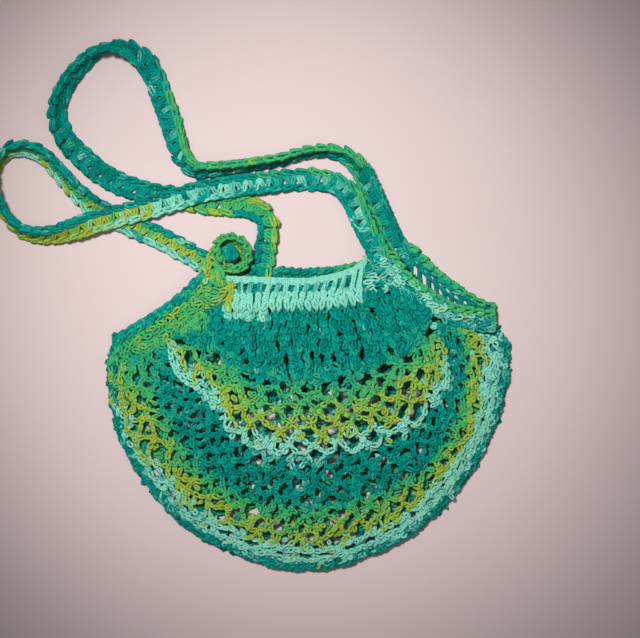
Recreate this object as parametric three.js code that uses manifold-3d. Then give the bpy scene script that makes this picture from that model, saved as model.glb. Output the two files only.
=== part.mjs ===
// String shopping bag: a round-worked cotton net with a closely worked rim and two long straps,
// laid flat with its front up. Millimetres, +Z up, +X to the bag's right, +Y from bottom to mouth.
import * as THREE from 'three';
import { mergeVertices } from 'three/addons/utils/BufferGeometryUtils.js';
import Module from 'manifold-3d';

const wasm = await Module();
wasm.setup();

// Driving dimensions
const BAG_WIDTH = 300;
const BAG_DEPTH = 181;
const MOUTH_HEIGHT = 60;
const RIM_WIDTH = 20;
const FABRIC_THICK = 3.5;
const PUFF = 11;
const POUCH_RAISE = 2;
const GATHER_HEIGHT = 1.2;
const GATHER_COUNT = 13;
const GAP_WIDTH = 9;
const STRAP_WIDTH = 19.5;
const STRAP_THICK = 4;
const STRAP_REACH = 285;
const STRAP_RISE = 165;
const CLEARANCE = 0.3;

const HALF_WIDTH = BAG_WIDTH / 2;
const SEAT_MARGIN = STRAP_THICK / 4;
const STRAP_LEAD = STRAP_THICK * 1.6;
const LAYER = STRAP_THICK + CLEARANCE;

// Fold outline round the fan centre: turn runs from the left corner over the bottom to the right one,
// reach is a share of the ellipse of half the width by the depth.
const OUTLINE = [
  { turn: 0, reach: 0.98 },
  { turn: 15, reach: 1.035 },
  { turn: 25, reach: 1.055 },
  { turn: 38, reach: 1.04 },
  { turn: 53, reach: 1.028 },
  { turn: 68, reach: 1.002 },
  { turn: 90, reach: 1.0 },
  { turn: 107, reach: 0.988 },
  { turn: 136, reach: 0.998 },
  { turn: 155, reach: 1.013 },
  { turn: 171, reach: 1.006 },
  { turn: 180, reach: 0.968 },
];
const NET_TURNS = { left: 7, right: 177 };

// Strap seats on the rims: x is a share of half the width, y of the mouth height, lean in degrees.
const SEATS = {
  frontLeft: { x: -0.465, y: 0.7, lean: -11 },
  frontRight: { x: 0.342, y: 0.956, lean: 22 },
  backLeft: { x: -0.228, y: 0.812, lean: -15.5 },
  backRight: { x: 0.447, y: 1.02, lean: 34 },
};

// Rim rows from the left corner to the right one: x is a share of half the width, top of the mouth
// height, deep of the rim width. A seat row takes its two top points from its strap seat.
const RIM_FRONT = [
  { x: -0.98, top: -0.075, deep: 0.49 },
  { x: -0.87, top: 0.1, deep: 1.09 },
  { x: -0.77, top: 0.238, deep: 1.46 },
  { x: -0.68, top: 0.388, deep: 1.57 },
  { x: -0.605, top: 0.538, deep: 1.57 },
  { seat: 'frontLeft', deepLeft: 1.6, deepRight: 1.05 },
  { x: -0.3, top: 0.663, deep: 1.03 },
  { x: -0.15, top: 0.647, deep: 0.93 },
  { x: 0, top: 0.638, deep: 0.9 },
  { x: 0.13, top: 0.7, deep: 1.0 },
  { x: 0.215, top: 0.763, deep: 1.1 },
  { seat: 'frontRight', deepLeft: 1.33, deepRight: 1.57 },
  { x: 0.47, top: 0.76, deep: 0.98 },
  { x: 0.55, top: 0.588, deep: 0.93 },
  { x: 0.7, top: 0.35, deep: 0.8 },
  { x: 0.83, top: 0.288, deep: 0.85 },
  { x: 0.935, top: 0.263, deep: 0.75 },
];
const RIM_BACK = [
  { x: -0.98, top: -0.075, deep: 0.49 },
  { x: -0.85, top: 0.05, deep: 1.0 },
  { x: -0.7, top: 0.225, deep: 1.25 },
  { x: -0.5, top: 0.36, deep: 1.15 },
  { x: -0.33, top: 0.5, deep: 0.95 },
  { seat: 'backLeft', deepLeft: 1.5, deepRight: 1.2 },
  { x: -0.045, top: 0.738, deep: 1.0 },
  { x: 0.13, top: 0.763, deep: 1.0 },
  { x: 0.28, top: 0.85, deep: 1.1 },
  { seat: 'backRight', deepLeft: 1.3, deepRight: 1.65 },
  { x: 0.59, top: 0.875, deep: 1.15 },
  { x: 0.71, top: 0.625, deep: 1.05 },
  { x: 0.85, top: 0.4, deep: 0.95 },
  { x: 0.94, top: 0.33, deep: 0.9 },
];

// Gap rounds of the net: fall is the share of the way from the rim to the fold, count the gaps there.
const GAP_ROUNDS = [
  { fall: 0.42, count: 9 },
  { fall: 0.54, count: 11 },
  { fall: 0.66, count: 12 },
  { fall: 0.78, count: 13 },
  { fall: 0.9, count: 13 },
];
const GAP_SPAN = { first: 0.15, last: 0.85 };
const GAP_LENGTH_SHARE = 0.5;

// Strap routes from the right seat to the left one. x is a share of the strap reach and y of the
// strap rise, both from the right seat; roll is the band's turn on edge in degrees, lift counts
// strap layers under it and seat is the share of the rim's height that it still has. The ends give
// where the left seats lie on the same shares and that each strap reaches its seat turned over once,
// and a route follows its seats when they move.
const STRAP_ENDS = {
  front: { x: -0.425, y: -0.093, roll: -180 },
  back: { x: -0.355, y: -0.076, roll: 180 },
};
const STRAP_FRONT = [
  { x: -0.022, y: 0.071, roll: 0, seat: 0.8 },
  { x: -0.041, y: 0.143, roll: 0, seat: 0.68 },
  { x: -0.067, y: 0.243, roll: 8, seat: 0.48 },
  { x: -0.096, y: 0.302, roll: 5, seat: 0.22 },
  { x: -0.151, y: 0.334, roll: 0 },
  { x: -0.201, y: 0.336, roll: 0, lift: 0.1 },
  { x: -0.291, y: 0.321, roll: 0, lift: 0.9 },
  { x: -0.362, y: 0.307, roll: 0, lift: 1 },
  { x: -0.467, y: 0.277, roll: 0, lift: 1 },
  { x: -0.519, y: 0.248, roll: 0, lift: 1 },
  { x: -0.591, y: 0.209, roll: 0, lift: 1 },
  { x: -0.672, y: 0.171, roll: 0, lift: 1 },
  { x: -0.743, y: 0.139, roll: -20, lift: 1 },
  { x: -0.796, y: 0.107, roll: -42, lift: 0.6 },
  { x: -0.841, y: 0.086, roll: -55 },
  { x: -0.885, y: 0.080, roll: -64 },
  { x: -0.930, y: 0.101, roll: -69 },
  { x: -0.964, y: 0.153, roll: -73 },
  { x: -0.988, y: 0.230, roll: -79 },
  { x: -1.001, y: 0.321, roll: -88 },
  { x: -0.993, y: 0.407, roll: -100 },
  { x: -0.964, y: 0.461, roll: -112 },
  { x: -0.919, y: 0.471, roll: -120 },
  { x: -0.875, y: 0.439, roll: -124 },
  { x: -0.838, y: 0.375, roll: -126 },
  { x: -0.801, y: 0.302, roll: -130 },
  { x: -0.759, y: 0.230, roll: -155 },
  { x: -0.719, y: 0.184, roll: -180 },
  { x: -0.683, y: 0.157, roll: -180 },
  { x: -0.612, y: 0.102, roll: -180 },
  { x: -0.541, y: 0.043, roll: -180 },
  { x: -0.483, y: -0.012, roll: -180 },
  { x: -0.440, y: -0.062, roll: -172 },
  { x: -0.4195, y: -0.083, roll: -150 },
  { x: -0.3853, y: -0.088, roll: -104, seat: 0.05 },
  { x: -0.357, y: -0.062, roll: -72 },
  { x: -0.3458, y: -0.012, roll: -60 },
  { x: -0.357, y: 0.036, roll: -60, seat: 0.1 },
  { x: -0.3847, y: 0.057, roll: -66, seat: 0.25 },
  { x: -0.412, y: 0.042, roll: -84, seat: 0.45 },
  { x: -0.424, y: -0.004, roll: -125, seat: 0.7 },
];
const STRAP_BACK = [
  { x: -0.022, y: 0.065, roll: -5 },
  { x: -0.046, y: 0.152, roll: -12 },
  { x: -0.072, y: 0.252, roll: -32 },
  { x: -0.098, y: 0.348, roll: -54 },
  { x: -0.130, y: 0.408, roll: -66 },
  { x: -0.169, y: 0.434, roll: -73 },
  { x: -0.212, y: 0.438, roll: -76 },
  { x: -0.259, y: 0.423, roll: -77 },
  { x: -0.312, y: 0.397, roll: -77 },
  { x: -0.369, y: 0.381, roll: -77 },
  { x: -0.430, y: 0.366, roll: -75 },
  { x: -0.488, y: 0.355, roll: -68 },
  { x: -0.533, y: 0.355, roll: -54 },
  { x: -0.564, y: 0.408, roll: -38 },
  { x: -0.585, y: 0.495, roll: -22 },
  { x: -0.601, y: 0.586, roll: -8 },
  { x: -0.622, y: 0.688, roll: -4 },
  { x: -0.646, y: 0.793, roll: 8 },
  { x: -0.680, y: 0.870, roll: 38 },
  { x: -0.727, y: 0.911, roll: 72 },
  { x: -0.777, y: 0.897, roll: 98 },
  { x: -0.822, y: 0.838, roll: 112 },
  { x: -0.862, y: 0.756, roll: 116 },
  { x: -0.888, y: 0.665, roll: 120 },
  { x: -0.891, y: 0.575, roll: 130 },
  { x: -0.872, y: 0.493, roll: 150 },
  { x: -0.835, y: 0.420, roll: 172 },
  { x: -0.783, y: 0.343, roll: 180 },
  { x: -0.717, y: 0.284, roll: 180 },
  { x: -0.648, y: 0.247, roll: 180 },
  { x: -0.575, y: 0.225, roll: 180 },
  { x: -0.501, y: 0.202, roll: 180 },
  { x: -0.438, y: 0.193, roll: 180 },
  { x: -0.391, y: 0.184, roll: 180 },
  { x: -0.354, y: 0.152, roll: 202 },
  { x: -0.341, y: 0.088, roll: 200 },
  { x: -0.348, y: 0.011, roll: 185 },
];

const NET_COLUMNS = 42;
const NET_ROWS = 10;
const RIM_STEPS = 2;
const STRAP_STEPS = 2;

// Smooth 0 to 1 between two limits
function ease(low, high, value) {
  return THREE.MathUtils.smoothstep(value, low, high);
}

// Reach share of the fold outline at a turn in degrees
function outlineReach(turn) {
  const last = OUTLINE.length - 1;
  if (turn <= OUTLINE[0].turn) return OUTLINE[0].reach;
  if (turn >= OUTLINE[last].turn) return OUTLINE[last].reach;
  const next = OUTLINE.findIndex((row) => row.turn >= turn);
  const [before, after] = [OUTLINE[next - 1], OUTLINE[next]];
  const share = ease(before.turn, after.turn, turn);
  return THREE.MathUtils.lerp(before.reach, after.reach, share);
}

// Point of the fold outline at a turn in degrees
function outlinePoint(turn) {
  const angle = THREE.MathUtils.degToRad(180 + turn);
  const reach = outlineReach(turn);
  return new THREE.Vector2(HALF_WIDTH * Math.cos(angle), BAG_DEPTH * Math.sin(angle)).multiplyScalar(reach);
}

// Height of the front layer's underside over a point of the plan: a pillow that ends at the fold
function frontHeight(point) {
  const across = point.x / HALF_WIDTH;
  const down = point.y / (point.y < 0 ? BAG_DEPTH : HALF_WIDTH);
  const turn = THREE.MathUtils.radToDeg(Math.atan2(-down, -across));
  const spread = Math.hypot(across, down) / outlineReach(point.y < 0 ? turn : across < 0 ? 0 : 180);
  return FABRIC_THICK + CLEARANCE + PUFF * Math.max(0, 1 - spread ** 3);
}

const backHeight = () => 0;

// Centre, side direction and outward direction of a strap seat
function seatFrame(name) {
  const seat = SEATS[name];
  const lean = THREE.MathUtils.degToRad(seat.lean);
  return {
    centre: new THREE.Vector2(seat.x * HALF_WIDTH, seat.y * MOUTH_HEIGHT),
    side: new THREE.Vector2(Math.cos(lean), Math.sin(lean)),
    out: new THREE.Vector2(-Math.sin(lean), Math.cos(lean)),
  };
}

// Top and bottom plan points of every rim row, seat rows giving two
function rimEdges(rows) {
  const edges = [];
  const addEdge = (top, deep) => {
    edges.push({ top, bottom: new THREE.Vector2(top.x, top.y - deep * RIM_WIDTH) });
  };
  for (const row of rows) {
    if (row.seat) {
      const { centre, side } = seatFrame(row.seat);
      const half = STRAP_WIDTH / 2 + SEAT_MARGIN;
      addEdge(centre.clone().addScaledVector(side, -half), row.deepLeft);
      addEdge(centre.clone().addScaledVector(side, half), row.deepRight);
    } else {
      addEdge(new THREE.Vector2(row.x * HALF_WIDTH, row.top * MOUTH_HEIGHT), row.deep);
    }
  }
  return edges;
}

// Closed sheet from a grid of plan points, each with the height of its underside
function sheetGeometry(grid, thickness) {
  const rows = grid.length;
  const columns = grid[0].length;
  const positions = [];
  for (const lift of [0, thickness]) {
    for (const row of grid) {
      for (const node of row) positions.push(node.x, node.y, node.z + lift);
    }
  }
  const under = (i, j) => i * columns + j;
  const over = (i, j) => rows * columns + i * columns + j;
  const index = [];
  const quad = (a, b, c, d) => index.push(a, b, c, a, c, d);
  for (let i = 0; i + 1 < rows; i += 1) {
    for (let j = 0; j + 1 < columns; j += 1) {
      quad(over(i, j), over(i + 1, j), over(i + 1, j + 1), over(i, j + 1));
      quad(under(i, j), under(i, j + 1), under(i + 1, j + 1), under(i + 1, j));
    }
  }
  for (let j = 0; j + 1 < columns; j += 1) {
    quad(under(0, j), over(0, j), over(0, j + 1), under(0, j + 1));
    quad(under(rows - 1, j + 1), over(rows - 1, j + 1), over(rows - 1, j), under(rows - 1, j));
  }
  for (let i = 0; i + 1 < rows; i += 1) {
    quad(under(i + 1, 0), over(i + 1, 0), over(i, 0), under(i, 0));
    quad(under(i, columns - 1), over(i, columns - 1), over(i + 1, columns - 1), under(i + 1, columns - 1));
  }
  return geometryFrom(positions, index);
}

function geometryFrom(positions, index) {
  const geometry = new THREE.BufferGeometry();
  geometry.setAttribute('position', new THREE.Float32BufferAttribute(positions, 3));
  geometry.setIndex(index);
  return geometry;
}

// Rim band: a sheet between the top and bottom edges, three points across
function rimGeometry(rows, heightAt) {
  const edges = rimEdges(rows);
  const grid = [[], [], []];
  for (let k = 0; k + 1 < edges.length; k += 1) {
    const steps = k + 2 === edges.length ? RIM_STEPS + 1 : RIM_STEPS;
    for (let step = 0; step < steps; step += 1) {
      const share = step / RIM_STEPS;
      const top = edges[k].top.clone().lerp(edges[k + 1].top, share);
      const bottom = edges[k].bottom.clone().lerp(edges[k + 1].bottom, share);
      grid.forEach((line, across) => {
        const point = top.clone().lerp(bottom, across / 2);
        line.push({ x: point.x, y: point.y, z: heightAt(point) });
      });
    }
  }
  return sheetGeometry(grid, FABRIC_THICK);
}

// Share of the rim's bottom edge at which each of its rows lies
function rimShares(edges) {
  const lengths = [0];
  for (let k = 1; k < edges.length; k += 1) {
    lengths.push(lengths[k - 1] + edges[k].bottom.distanceTo(edges[k - 1].bottom));
  }
  return lengths.map((length) => length / lengths[lengths.length - 1]);
}

// Point on the rim's bottom edge at a share of its length
function rimBottomAt(edges, share) {
  const shares = rimShares(edges);
  const next = Math.min(edges.length - 1, Math.max(1, shares.findIndex((value) => value >= share)));
  const local = (share - shares[next - 1]) / (shares[next] - shares[next - 1]);
  return edges[next - 1].bottom.clone().lerp(edges[next].bottom, local);
}

// Shares of the net's columns: one at every rim row, and steps of about one column width between
function netColumns(edges) {
  const shares = rimShares(edges);
  const columns = [0];
  for (let k = 1; k < shares.length; k += 1) {
    const steps = Math.max(1, Math.round((shares[k] - shares[k - 1]) * NET_COLUMNS));
    for (let step = 1; step < steps; step += 1) {
      columns.push(THREE.MathUtils.lerp(shares[k - 1], shares[k], step / steps));
    }
    columns.push(shares[k]);
  }
  return columns;
}

// Plan point of the net: along runs from corner to corner, fall from the rim to the fold
function netPoint(edges, along, fall) {
  const top = rimBottomAt(edges, along);
  top.y -= CLEARANCE;
  const turn = THREE.MathUtils.lerp(NET_TURNS.left, NET_TURNS.right, along);
  return top.lerp(outlinePoint(turn), fall);
}

// Gathers under the mouth and the raised pouch inside the chain round
function frontRelief(along, fall) {
  const gathered = ease(0, 0.12, fall) * (1 - ease(0.3, 0.5, fall));
  const pouch = ease(0, 0.12, fall) * (1 - ease(0.5, 0.66, fall));
  const middle = ease(0.08, 0.3, along) * (1 - ease(0.7, 0.92, along));
  const wave = 0.5 + 0.5 * Math.cos(2 * Math.PI * GATHER_COUNT * along);
  return middle * (GATHER_HEIGHT * gathered * wave + POUCH_RAISE * pouch);
}

function netGeometry(edges, heightAt, reliefAt) {
  const columns = netColumns(edges);
  const grid = [];
  for (let i = 0; i <= NET_ROWS; i += 1) {
    const fall = i / NET_ROWS;
    grid.push(columns.map((along) => {
      const point = netPoint(edges, along, fall);
      return { x: point.x, y: point.y, z: heightAt(point) + reliefAt(along, fall) };
    }));
  }
  return sheetGeometry(grid, FABRIC_THICK);
}

// Manifold solid of a closed geometry
function solidOf(geometry) {
  const bare = geometry.clone();
  bare.deleteAttribute('normal');
  bare.deleteAttribute('uv');
  const merged = mergeVertices(bare);
  return new wasm.Manifold(new wasm.Mesh({
    numProp: 3,
    vertProperties: new Float32Array(merged.attributes.position.array),
    triVerts: new Uint32Array(merged.index.array),
  }));
}

function geometryOf(solid) {
  const mesh = solid.getMesh();
  return geometryFrom(Array.from(mesh.vertProperties), Array.from(mesh.triVerts));
}

// Diamond prism that cuts one gap of the net, long enough for either layer
function gapGeometry(edges, along, fall, pitch) {
  const centre = netPoint(edges, along, fall);
  const ahead = netPoint(edges, along, fall + pitch).sub(centre);
  const reach = GAP_LENGTH_SHARE * ahead.length() / 2;
  ahead.normalize().multiplyScalar(reach);
  const side = new THREE.Vector2(-ahead.y, ahead.x).normalize().multiplyScalar(GAP_WIDTH / 2);
  const outline = new THREE.Shape([
    centre.clone().add(ahead),
    centre.clone().add(side),
    centre.clone().sub(ahead),
    centre.clone().sub(side),
  ]);
  const height = 2 * (FABRIC_THICK + PUFF + POUCH_RAISE + GATHER_HEIGHT) + STRAP_THICK;
  const prism = new THREE.ExtrudeGeometry(outline, { depth: 2 * height, bevelEnabled: false });
  return prism.translate(0, 0, -height);
}

// Net layer with its gap rounds cut through
function piercedNet(edges, heightAt, reliefAt) {
  let net = solidOf(netGeometry(edges, heightAt, reliefAt));
  const pitch = GAP_ROUNDS[1].fall - GAP_ROUNDS[0].fall;
  GAP_ROUNDS.forEach((round, line) => {
    for (let k = 0; k < round.count; k += 1) {
      const share = (k + (line % 2 ? 0.25 : 0.75)) / round.count;
      const along = THREE.MathUtils.lerp(GAP_SPAN.first, GAP_SPAN.last, share);
      net = net.subtract(solidOf(gapGeometry(edges, along, round.fall, pitch)));
    }
  });
  return geometryOf(net);
}

// Control rows of a strap in the plan, with both ends on their seats
function strapRows(route, ends, startName, endName, heightAt) {
  const start = seatFrame(startName);
  const end = seatFrame(endName);
  const startHeight = heightAt(start.centre);
  const endHeight = heightAt(end.centre);
  const planShare = (row) => new THREE.Vector2(row.x * STRAP_REACH, row.y * STRAP_RISE);
  const drift = end.centre.clone().sub(start.centre).sub(planShare(ends));
  const seatRow = (frame, lead, height, roll) => ({
    point: frame.centre.clone().addScaledVector(frame.out, lead),
    roll,
    base: height,
  });
  const middle = route.map((row, k) => {
    const { roll, lift = 0, seat = 0 } = row;
    const share = (k + 1) / (route.length + 1);
    const nearHeight = share < 0.5 ? startHeight : endHeight;
    return {
      point: planShare(row).add(start.centre).addScaledVector(drift, share),
      roll,
      base: lift * LAYER + seat * nearHeight,
    };
  });
  return [
    seatRow(start, CLEARANCE, startHeight, 0),
    seatRow(start, STRAP_LEAD, startHeight, 0),
    ...middle,
    seatRow(end, STRAP_LEAD, endHeight, ends.roll),
    seatRow(end, CLEARANCE, endHeight, ends.roll),
  ];
}

// Half section of the band: width by thickness with its four edges taken off
function bandSection() {
  const half = STRAP_WIDTH / 2;
  const thin = STRAP_THICK / 2;
  const cut = STRAP_THICK / 4;
  return [
    [half, -thin + cut], [half, thin - cut], [half - cut, thin], [-half + cut, thin],
    [-half, thin - cut], [-half, -thin + cut], [-half + cut, -thin], [half - cut, -thin],
  ];
}

// Strap swept along its rows, rolled on edge where the rows say and resting on its base height
function strapGeometry(rows) {
  const route = new THREE.CatmullRomCurve3(rows.map((row) => new THREE.Vector3(row.point.x, row.point.y, 0)));
  const stance = new THREE.CatmullRomCurve3(rows.map((row) => new THREE.Vector3(row.roll, row.base, 0)));
  const section = bandSection();
  const stations = (rows.length - 1) * STRAP_STEPS;
  const positions = [];
  const index = [];
  for (let k = 0; k <= stations; k += 1) {
    const share = k / stations;
    const centre = route.getPoint(share);
    const tangent = route.getTangent(share);
    const { x: degrees, y: base } = stance.getPoint(share);
    const roll = THREE.MathUtils.degToRad(degrees);
    const side = new THREE.Vector3(-tangent.y, tangent.x, 0).normalize();
    const [cos, sin] = [Math.cos(roll), Math.sin(roll)];
    centre.z = base + (STRAP_WIDTH * Math.abs(sin) + STRAP_THICK * Math.abs(cos)) / 2;
    for (const [across, up] of section) {
      const flat = across * cos - up * sin;
      positions.push(centre.x + side.x * flat, centre.y + side.y * flat, centre.z + across * sin + up * cos);
    }
  }
  const corners = section.length;
  for (let k = 0; k < stations; k += 1) {
    for (let c = 0; c < corners; c += 1) {
      const [a, b] = [k * corners + c, k * corners + (c + 1) % corners];
      index.push(a, b, a + corners, b, b + corners, a + corners);
    }
  }
  const lastRing = stations * corners;
  for (let c = 1; c + 1 < corners; c += 1) {
    index.push(0, c + 1, c);
    index.push(lastRing, lastRing + c, lastRing + c + 1);
  }
  return geometryFrom(positions, index);
}

function yarnMesh(name, geometry, color) {
  const material = new THREE.MeshStandardMaterial({ color, roughness: 0.9, metalness: 0 });
  const mesh = new THREE.Mesh(geometry, material);
  mesh.name = name;
  return mesh;
}

const frontEdges = rimEdges(RIM_FRONT);
const backEdges = rimEdges(RIM_BACK);
const noRelief = () => 0;
const frontRows = strapRows(STRAP_FRONT, STRAP_ENDS.front, 'frontRight', 'frontLeft', frontHeight);
const backRows = strapRows(STRAP_BACK, STRAP_ENDS.back, 'backRight', 'backLeft', backHeight);

const bag = new THREE.Group();
bag.add(
  yarnMesh('net_back', piercedNet(backEdges, backHeight, noRelief), 0x0b7f6c),
  yarnMesh('net_front', piercedNet(frontEdges, frontHeight, frontRelief), 0x0e9077),
  yarnMesh('rim_back', rimGeometry(RIM_BACK, backHeight), 0x2fa374),
  yarnMesh('rim_front', rimGeometry(RIM_FRONT, frontHeight), 0x8fd8c2),
  yarnMesh('strap_back', strapGeometry(backRows), 0x128a70),
  yarnMesh('strap_front', strapGeometry(frontRows), 0x5cc2a4),
);

// The origin is the middle of the underside
const box = new THREE.Box3().setFromObject(bag);
const middle = box.getCenter(new THREE.Vector3());
bag.position.set(-middle.x, -middle.y, -box.min.z);

export default bag;
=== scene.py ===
"""String shopping bag, laid flat: a net of crocheted arches, two worked rims and two long straps."""
import math

import bpy
import numpy as np
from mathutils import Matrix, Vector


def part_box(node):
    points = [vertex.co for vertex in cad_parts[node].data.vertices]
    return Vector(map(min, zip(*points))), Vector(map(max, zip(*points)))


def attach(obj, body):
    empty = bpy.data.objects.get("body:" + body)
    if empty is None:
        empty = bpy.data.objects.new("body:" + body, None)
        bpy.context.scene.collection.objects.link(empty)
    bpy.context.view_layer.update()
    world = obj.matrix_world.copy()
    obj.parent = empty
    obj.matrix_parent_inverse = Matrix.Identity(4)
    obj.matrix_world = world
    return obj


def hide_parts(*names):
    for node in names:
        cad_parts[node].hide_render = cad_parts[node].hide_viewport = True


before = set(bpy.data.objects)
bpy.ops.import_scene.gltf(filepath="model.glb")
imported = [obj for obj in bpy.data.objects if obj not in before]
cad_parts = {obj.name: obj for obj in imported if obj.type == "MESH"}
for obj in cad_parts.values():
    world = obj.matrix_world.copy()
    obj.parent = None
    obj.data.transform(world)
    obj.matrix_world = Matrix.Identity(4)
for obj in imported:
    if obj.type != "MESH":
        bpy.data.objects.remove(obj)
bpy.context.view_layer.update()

bl_info = {
    "name": "String Shopping Bag",
    "version": (1, 0, 0),
    "blender": (4, 5, 0),
    "location": "3D View > Sidebar > String Bag",
    "description": "Crocheted net, rims and straps of a string bag around its packed frame",
    "category": "Object",
}

MM = 0.001

# Driving sizes of the bag, millimetres
HALF_WIDTH = 150
BAG_DEPTH = 181
MOUTH_HEIGHT = 60
RIM_WIDTH = 20
FABRIC_THICK = 3.5
PUFF = 11
STRAP_WIDTH = 19.5
STRAP_THICK = 4
STRAP_REACH = 285
STRAP_RISE = 165
CLEARANCE = 0.3
SEAT_MARGIN = STRAP_THICK / 4
STRAP_LEAD = STRAP_THICK * 1.6
LAYER = STRAP_THICK + CLEARANCE
SEAT_LAP = 8

# Fold outline: turn in degrees from the left corner, reach as a share of the ellipse
OUTLINE = (
    (0, 0.98), (15, 1.035), (25, 1.055), (38, 1.04), (53, 1.028), (68, 1.002), (90, 1.0), (107, 0.988),
    (136, 0.998), (155, 1.013), (171, 1.006), (180, 0.968),
)

# Turns between which the net's outer line runs, degrees from the left corner
FOLD_TURNS = (4, 177)

# Strap seats: share of half the width, share of the mouth height, lean in degrees
SEATS = {
    "front_left": (-0.465, 0.7, -11),
    "front_right": (0.342, 0.956, 22),
    "back_left": (-0.228, 0.812, -15.5),
    "back_right": (0.447, 1.02, 34),
}

# Rim rows: share of half the width, top, depth in rim widths; a seat row takes its place from its seat
RIM_FRONT = (
    (-0.98, -0.075, 0.49), (-0.87, 0.1, 1.09), (-0.77, 0.238, 1.46), (-0.68, 0.388, 1.57),
    (-0.605, 0.538, 1.57), ("front_left", 1.6, 1.05), (-0.3, 0.663, 1.03), (-0.15, 0.647, 0.93),
    (0, 0.638, 0.9), (0.13, 0.7, 1.0), (0.215, 0.763, 1.1), ("front_right", 1.33, 1.57),
    (0.47, 0.76, 0.98), (0.55, 0.588, 0.93), (0.7, 0.35, 0.8), (0.83, 0.288, 0.85),
    (0.935, 0.263, 0.75),
)
RIM_BACK = (
    (-0.98, -0.075, 0.49), (-0.85, 0.05, 1.0), (-0.7, 0.225, 1.25), (-0.5, 0.36, 1.15),
    (-0.33, 0.5, 0.95), ("back_left", 1.5, 1.2), (-0.045, 0.738, 1.0), (0.13, 0.763, 1.0),
    (0.28, 0.85, 1.1), ("back_right", 1.3, 1.65), (0.59, 0.875, 1.15), (0.71, 0.625, 1.05),
    (0.85, 0.4, 0.95), (0.94, 0.33, 0.9),
)

# Strap routes from the right seat to the left one: x and y as shares of the reach and rise, roll in
# degrees, layers of strap underneath, share of the rim's height
STRAP_FRONT = (
    (-0.022, 0.071, 0, 0, 0.8), (-0.041, 0.143, 0, 0, 0.68), (-0.067, 0.243, 8, 0, 0.48),
    (-0.096, 0.302, 5, 0, 0.22), (-0.151, 0.334, 0), (-0.201, 0.336, 0, 0.1), (-0.291, 0.321, 0, 0.9),
    (-0.362, 0.307, 0, 1), (-0.467, 0.277, 0, 1), (-0.519, 0.248, 0, 1), (-0.591, 0.209, 0, 1),
    (-0.672, 0.171, 0, 1), (-0.743, 0.139, -20, 1), (-0.796, 0.107, -42, 0.6), (-0.841, 0.086, -55),
    (-0.885, 0.080, -64), (-0.930, 0.101, -69), (-0.964, 0.153, -73), (-0.988, 0.230, -79),
    (-1.001, 0.321, -88), (-0.993, 0.407, -100), (-0.964, 0.461, -112), (-0.919, 0.471, -120),
    (-0.875, 0.439, -124), (-0.838, 0.375, -126), (-0.801, 0.302, -130), (-0.759, 0.230, -155),
    (-0.719, 0.184, -180), (-0.683, 0.157, -180), (-0.612, 0.102, -180), (-0.541, 0.043, -180),
    (-0.483, -0.012, -180), (-0.440, -0.062, -172), (-0.4195, -0.083, -150),
    (-0.3853, -0.088, -104, 0, 0.05), (-0.357, -0.062, -72), (-0.3458, -0.012, -60),
    (-0.357, 0.036, -60, 0, 0.1),
    (-0.3847, 0.057, -66, 0, 0.25), (-0.412, 0.042, -84, 0, 0.45), (-0.424, -0.004, -125, 0, 0.7),
)
STRAP_BACK = (
    (-0.022, 0.065, -5), (-0.046, 0.152, -12), (-0.072, 0.252, -32), (-0.098, 0.348, -54),
    (-0.130, 0.408, -66), (-0.169, 0.434, -73), (-0.212, 0.438, -76), (-0.259, 0.423, -77),
    (-0.312, 0.397, -77), (-0.369, 0.381, -77), (-0.430, 0.366, -75), (-0.488, 0.355, -68),
    (-0.533, 0.355, -54), (-0.564, 0.408, -38), (-0.585, 0.495, -22), (-0.601, 0.586, -8),
    (-0.622, 0.688, -4), (-0.646, 0.793, 8), (-0.680, 0.870, 38), (-0.727, 0.911, 72),
    (-0.777, 0.897, 98), (-0.822, 0.838, 112), (-0.862, 0.756, 116), (-0.888, 0.665, 120),
    (-0.891, 0.575, 130), (-0.872, 0.493, 150), (-0.835, 0.420, 172), (-0.783, 0.343, 180),
    (-0.717, 0.284, 180), (-0.648, 0.247, 180), (-0.575, 0.225, 180), (-0.501, 0.202, 180),
    (-0.438, 0.193, 180), (-0.391, 0.184, 180), (-0.354, 0.152, 202), (-0.341, 0.088, 200),
    (-0.348, 0.011, 185),
)
STRAP_ENDS = {"front": (-0.425, -0.093, -180), "back": (-0.355, -0.076, 180)}

# Curl beside the front strap's left seat, millimetres: its middle in the plan, the reach and number of
# the loops seen down it, and the length of strap in it, which is worked in smaller stitches
CURL_CENTRE = (-57.6, 58.0)
CURL_REACH = 5.0
CURL_LOOPS = 26
CURL_LENGTH = 95
CURL_SIZE = 0.64

# Pale round of the front net, millimetres in the plan: the pouch hangs from the rim to it, and the skirt
# runs on from there to the fold
POUCH_ROUND = (
    (-102.8, -7.5), (-86.3, -33), (-69, -49.5), (-60, -74), (-36.8, -90), (-6.8, -93.8), (30.8, -90),
    (68.3, -78.8), (98.3, -52.5), (102, -38.3), (96.8, -9), (90, 5.3),
)

# Pale cord down the pouch's left side, millimetres in the plan
PALE_CORD = (
    (-103, -9.4), (-99.8, -18.8), (-96.8, -31.5), (-90.8, -36.8), (-83.3, -39.8), (-77.3, -43.5),
    (-72.8, -48.8), (-68.3, -55.5),
)

# Chains along the fold: distance inside it in millimetres, first and last share of the fold line,
# dye in turns of the dyeing and height over the net in millimetres
FOLD_CHAINS = (
    (3.2, 0.002, 0.998, 3.05, -0.3), (5.6, 0.002, 0.998, 3.05, 0.3), (9.0, 0.15, 0.985, 2.84, 1.2),
    (15.0, 0.2, 0.96, 2.82, 1.2), (11.5, 0.03, 0.2, 2.55, 1.5),
)

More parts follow.
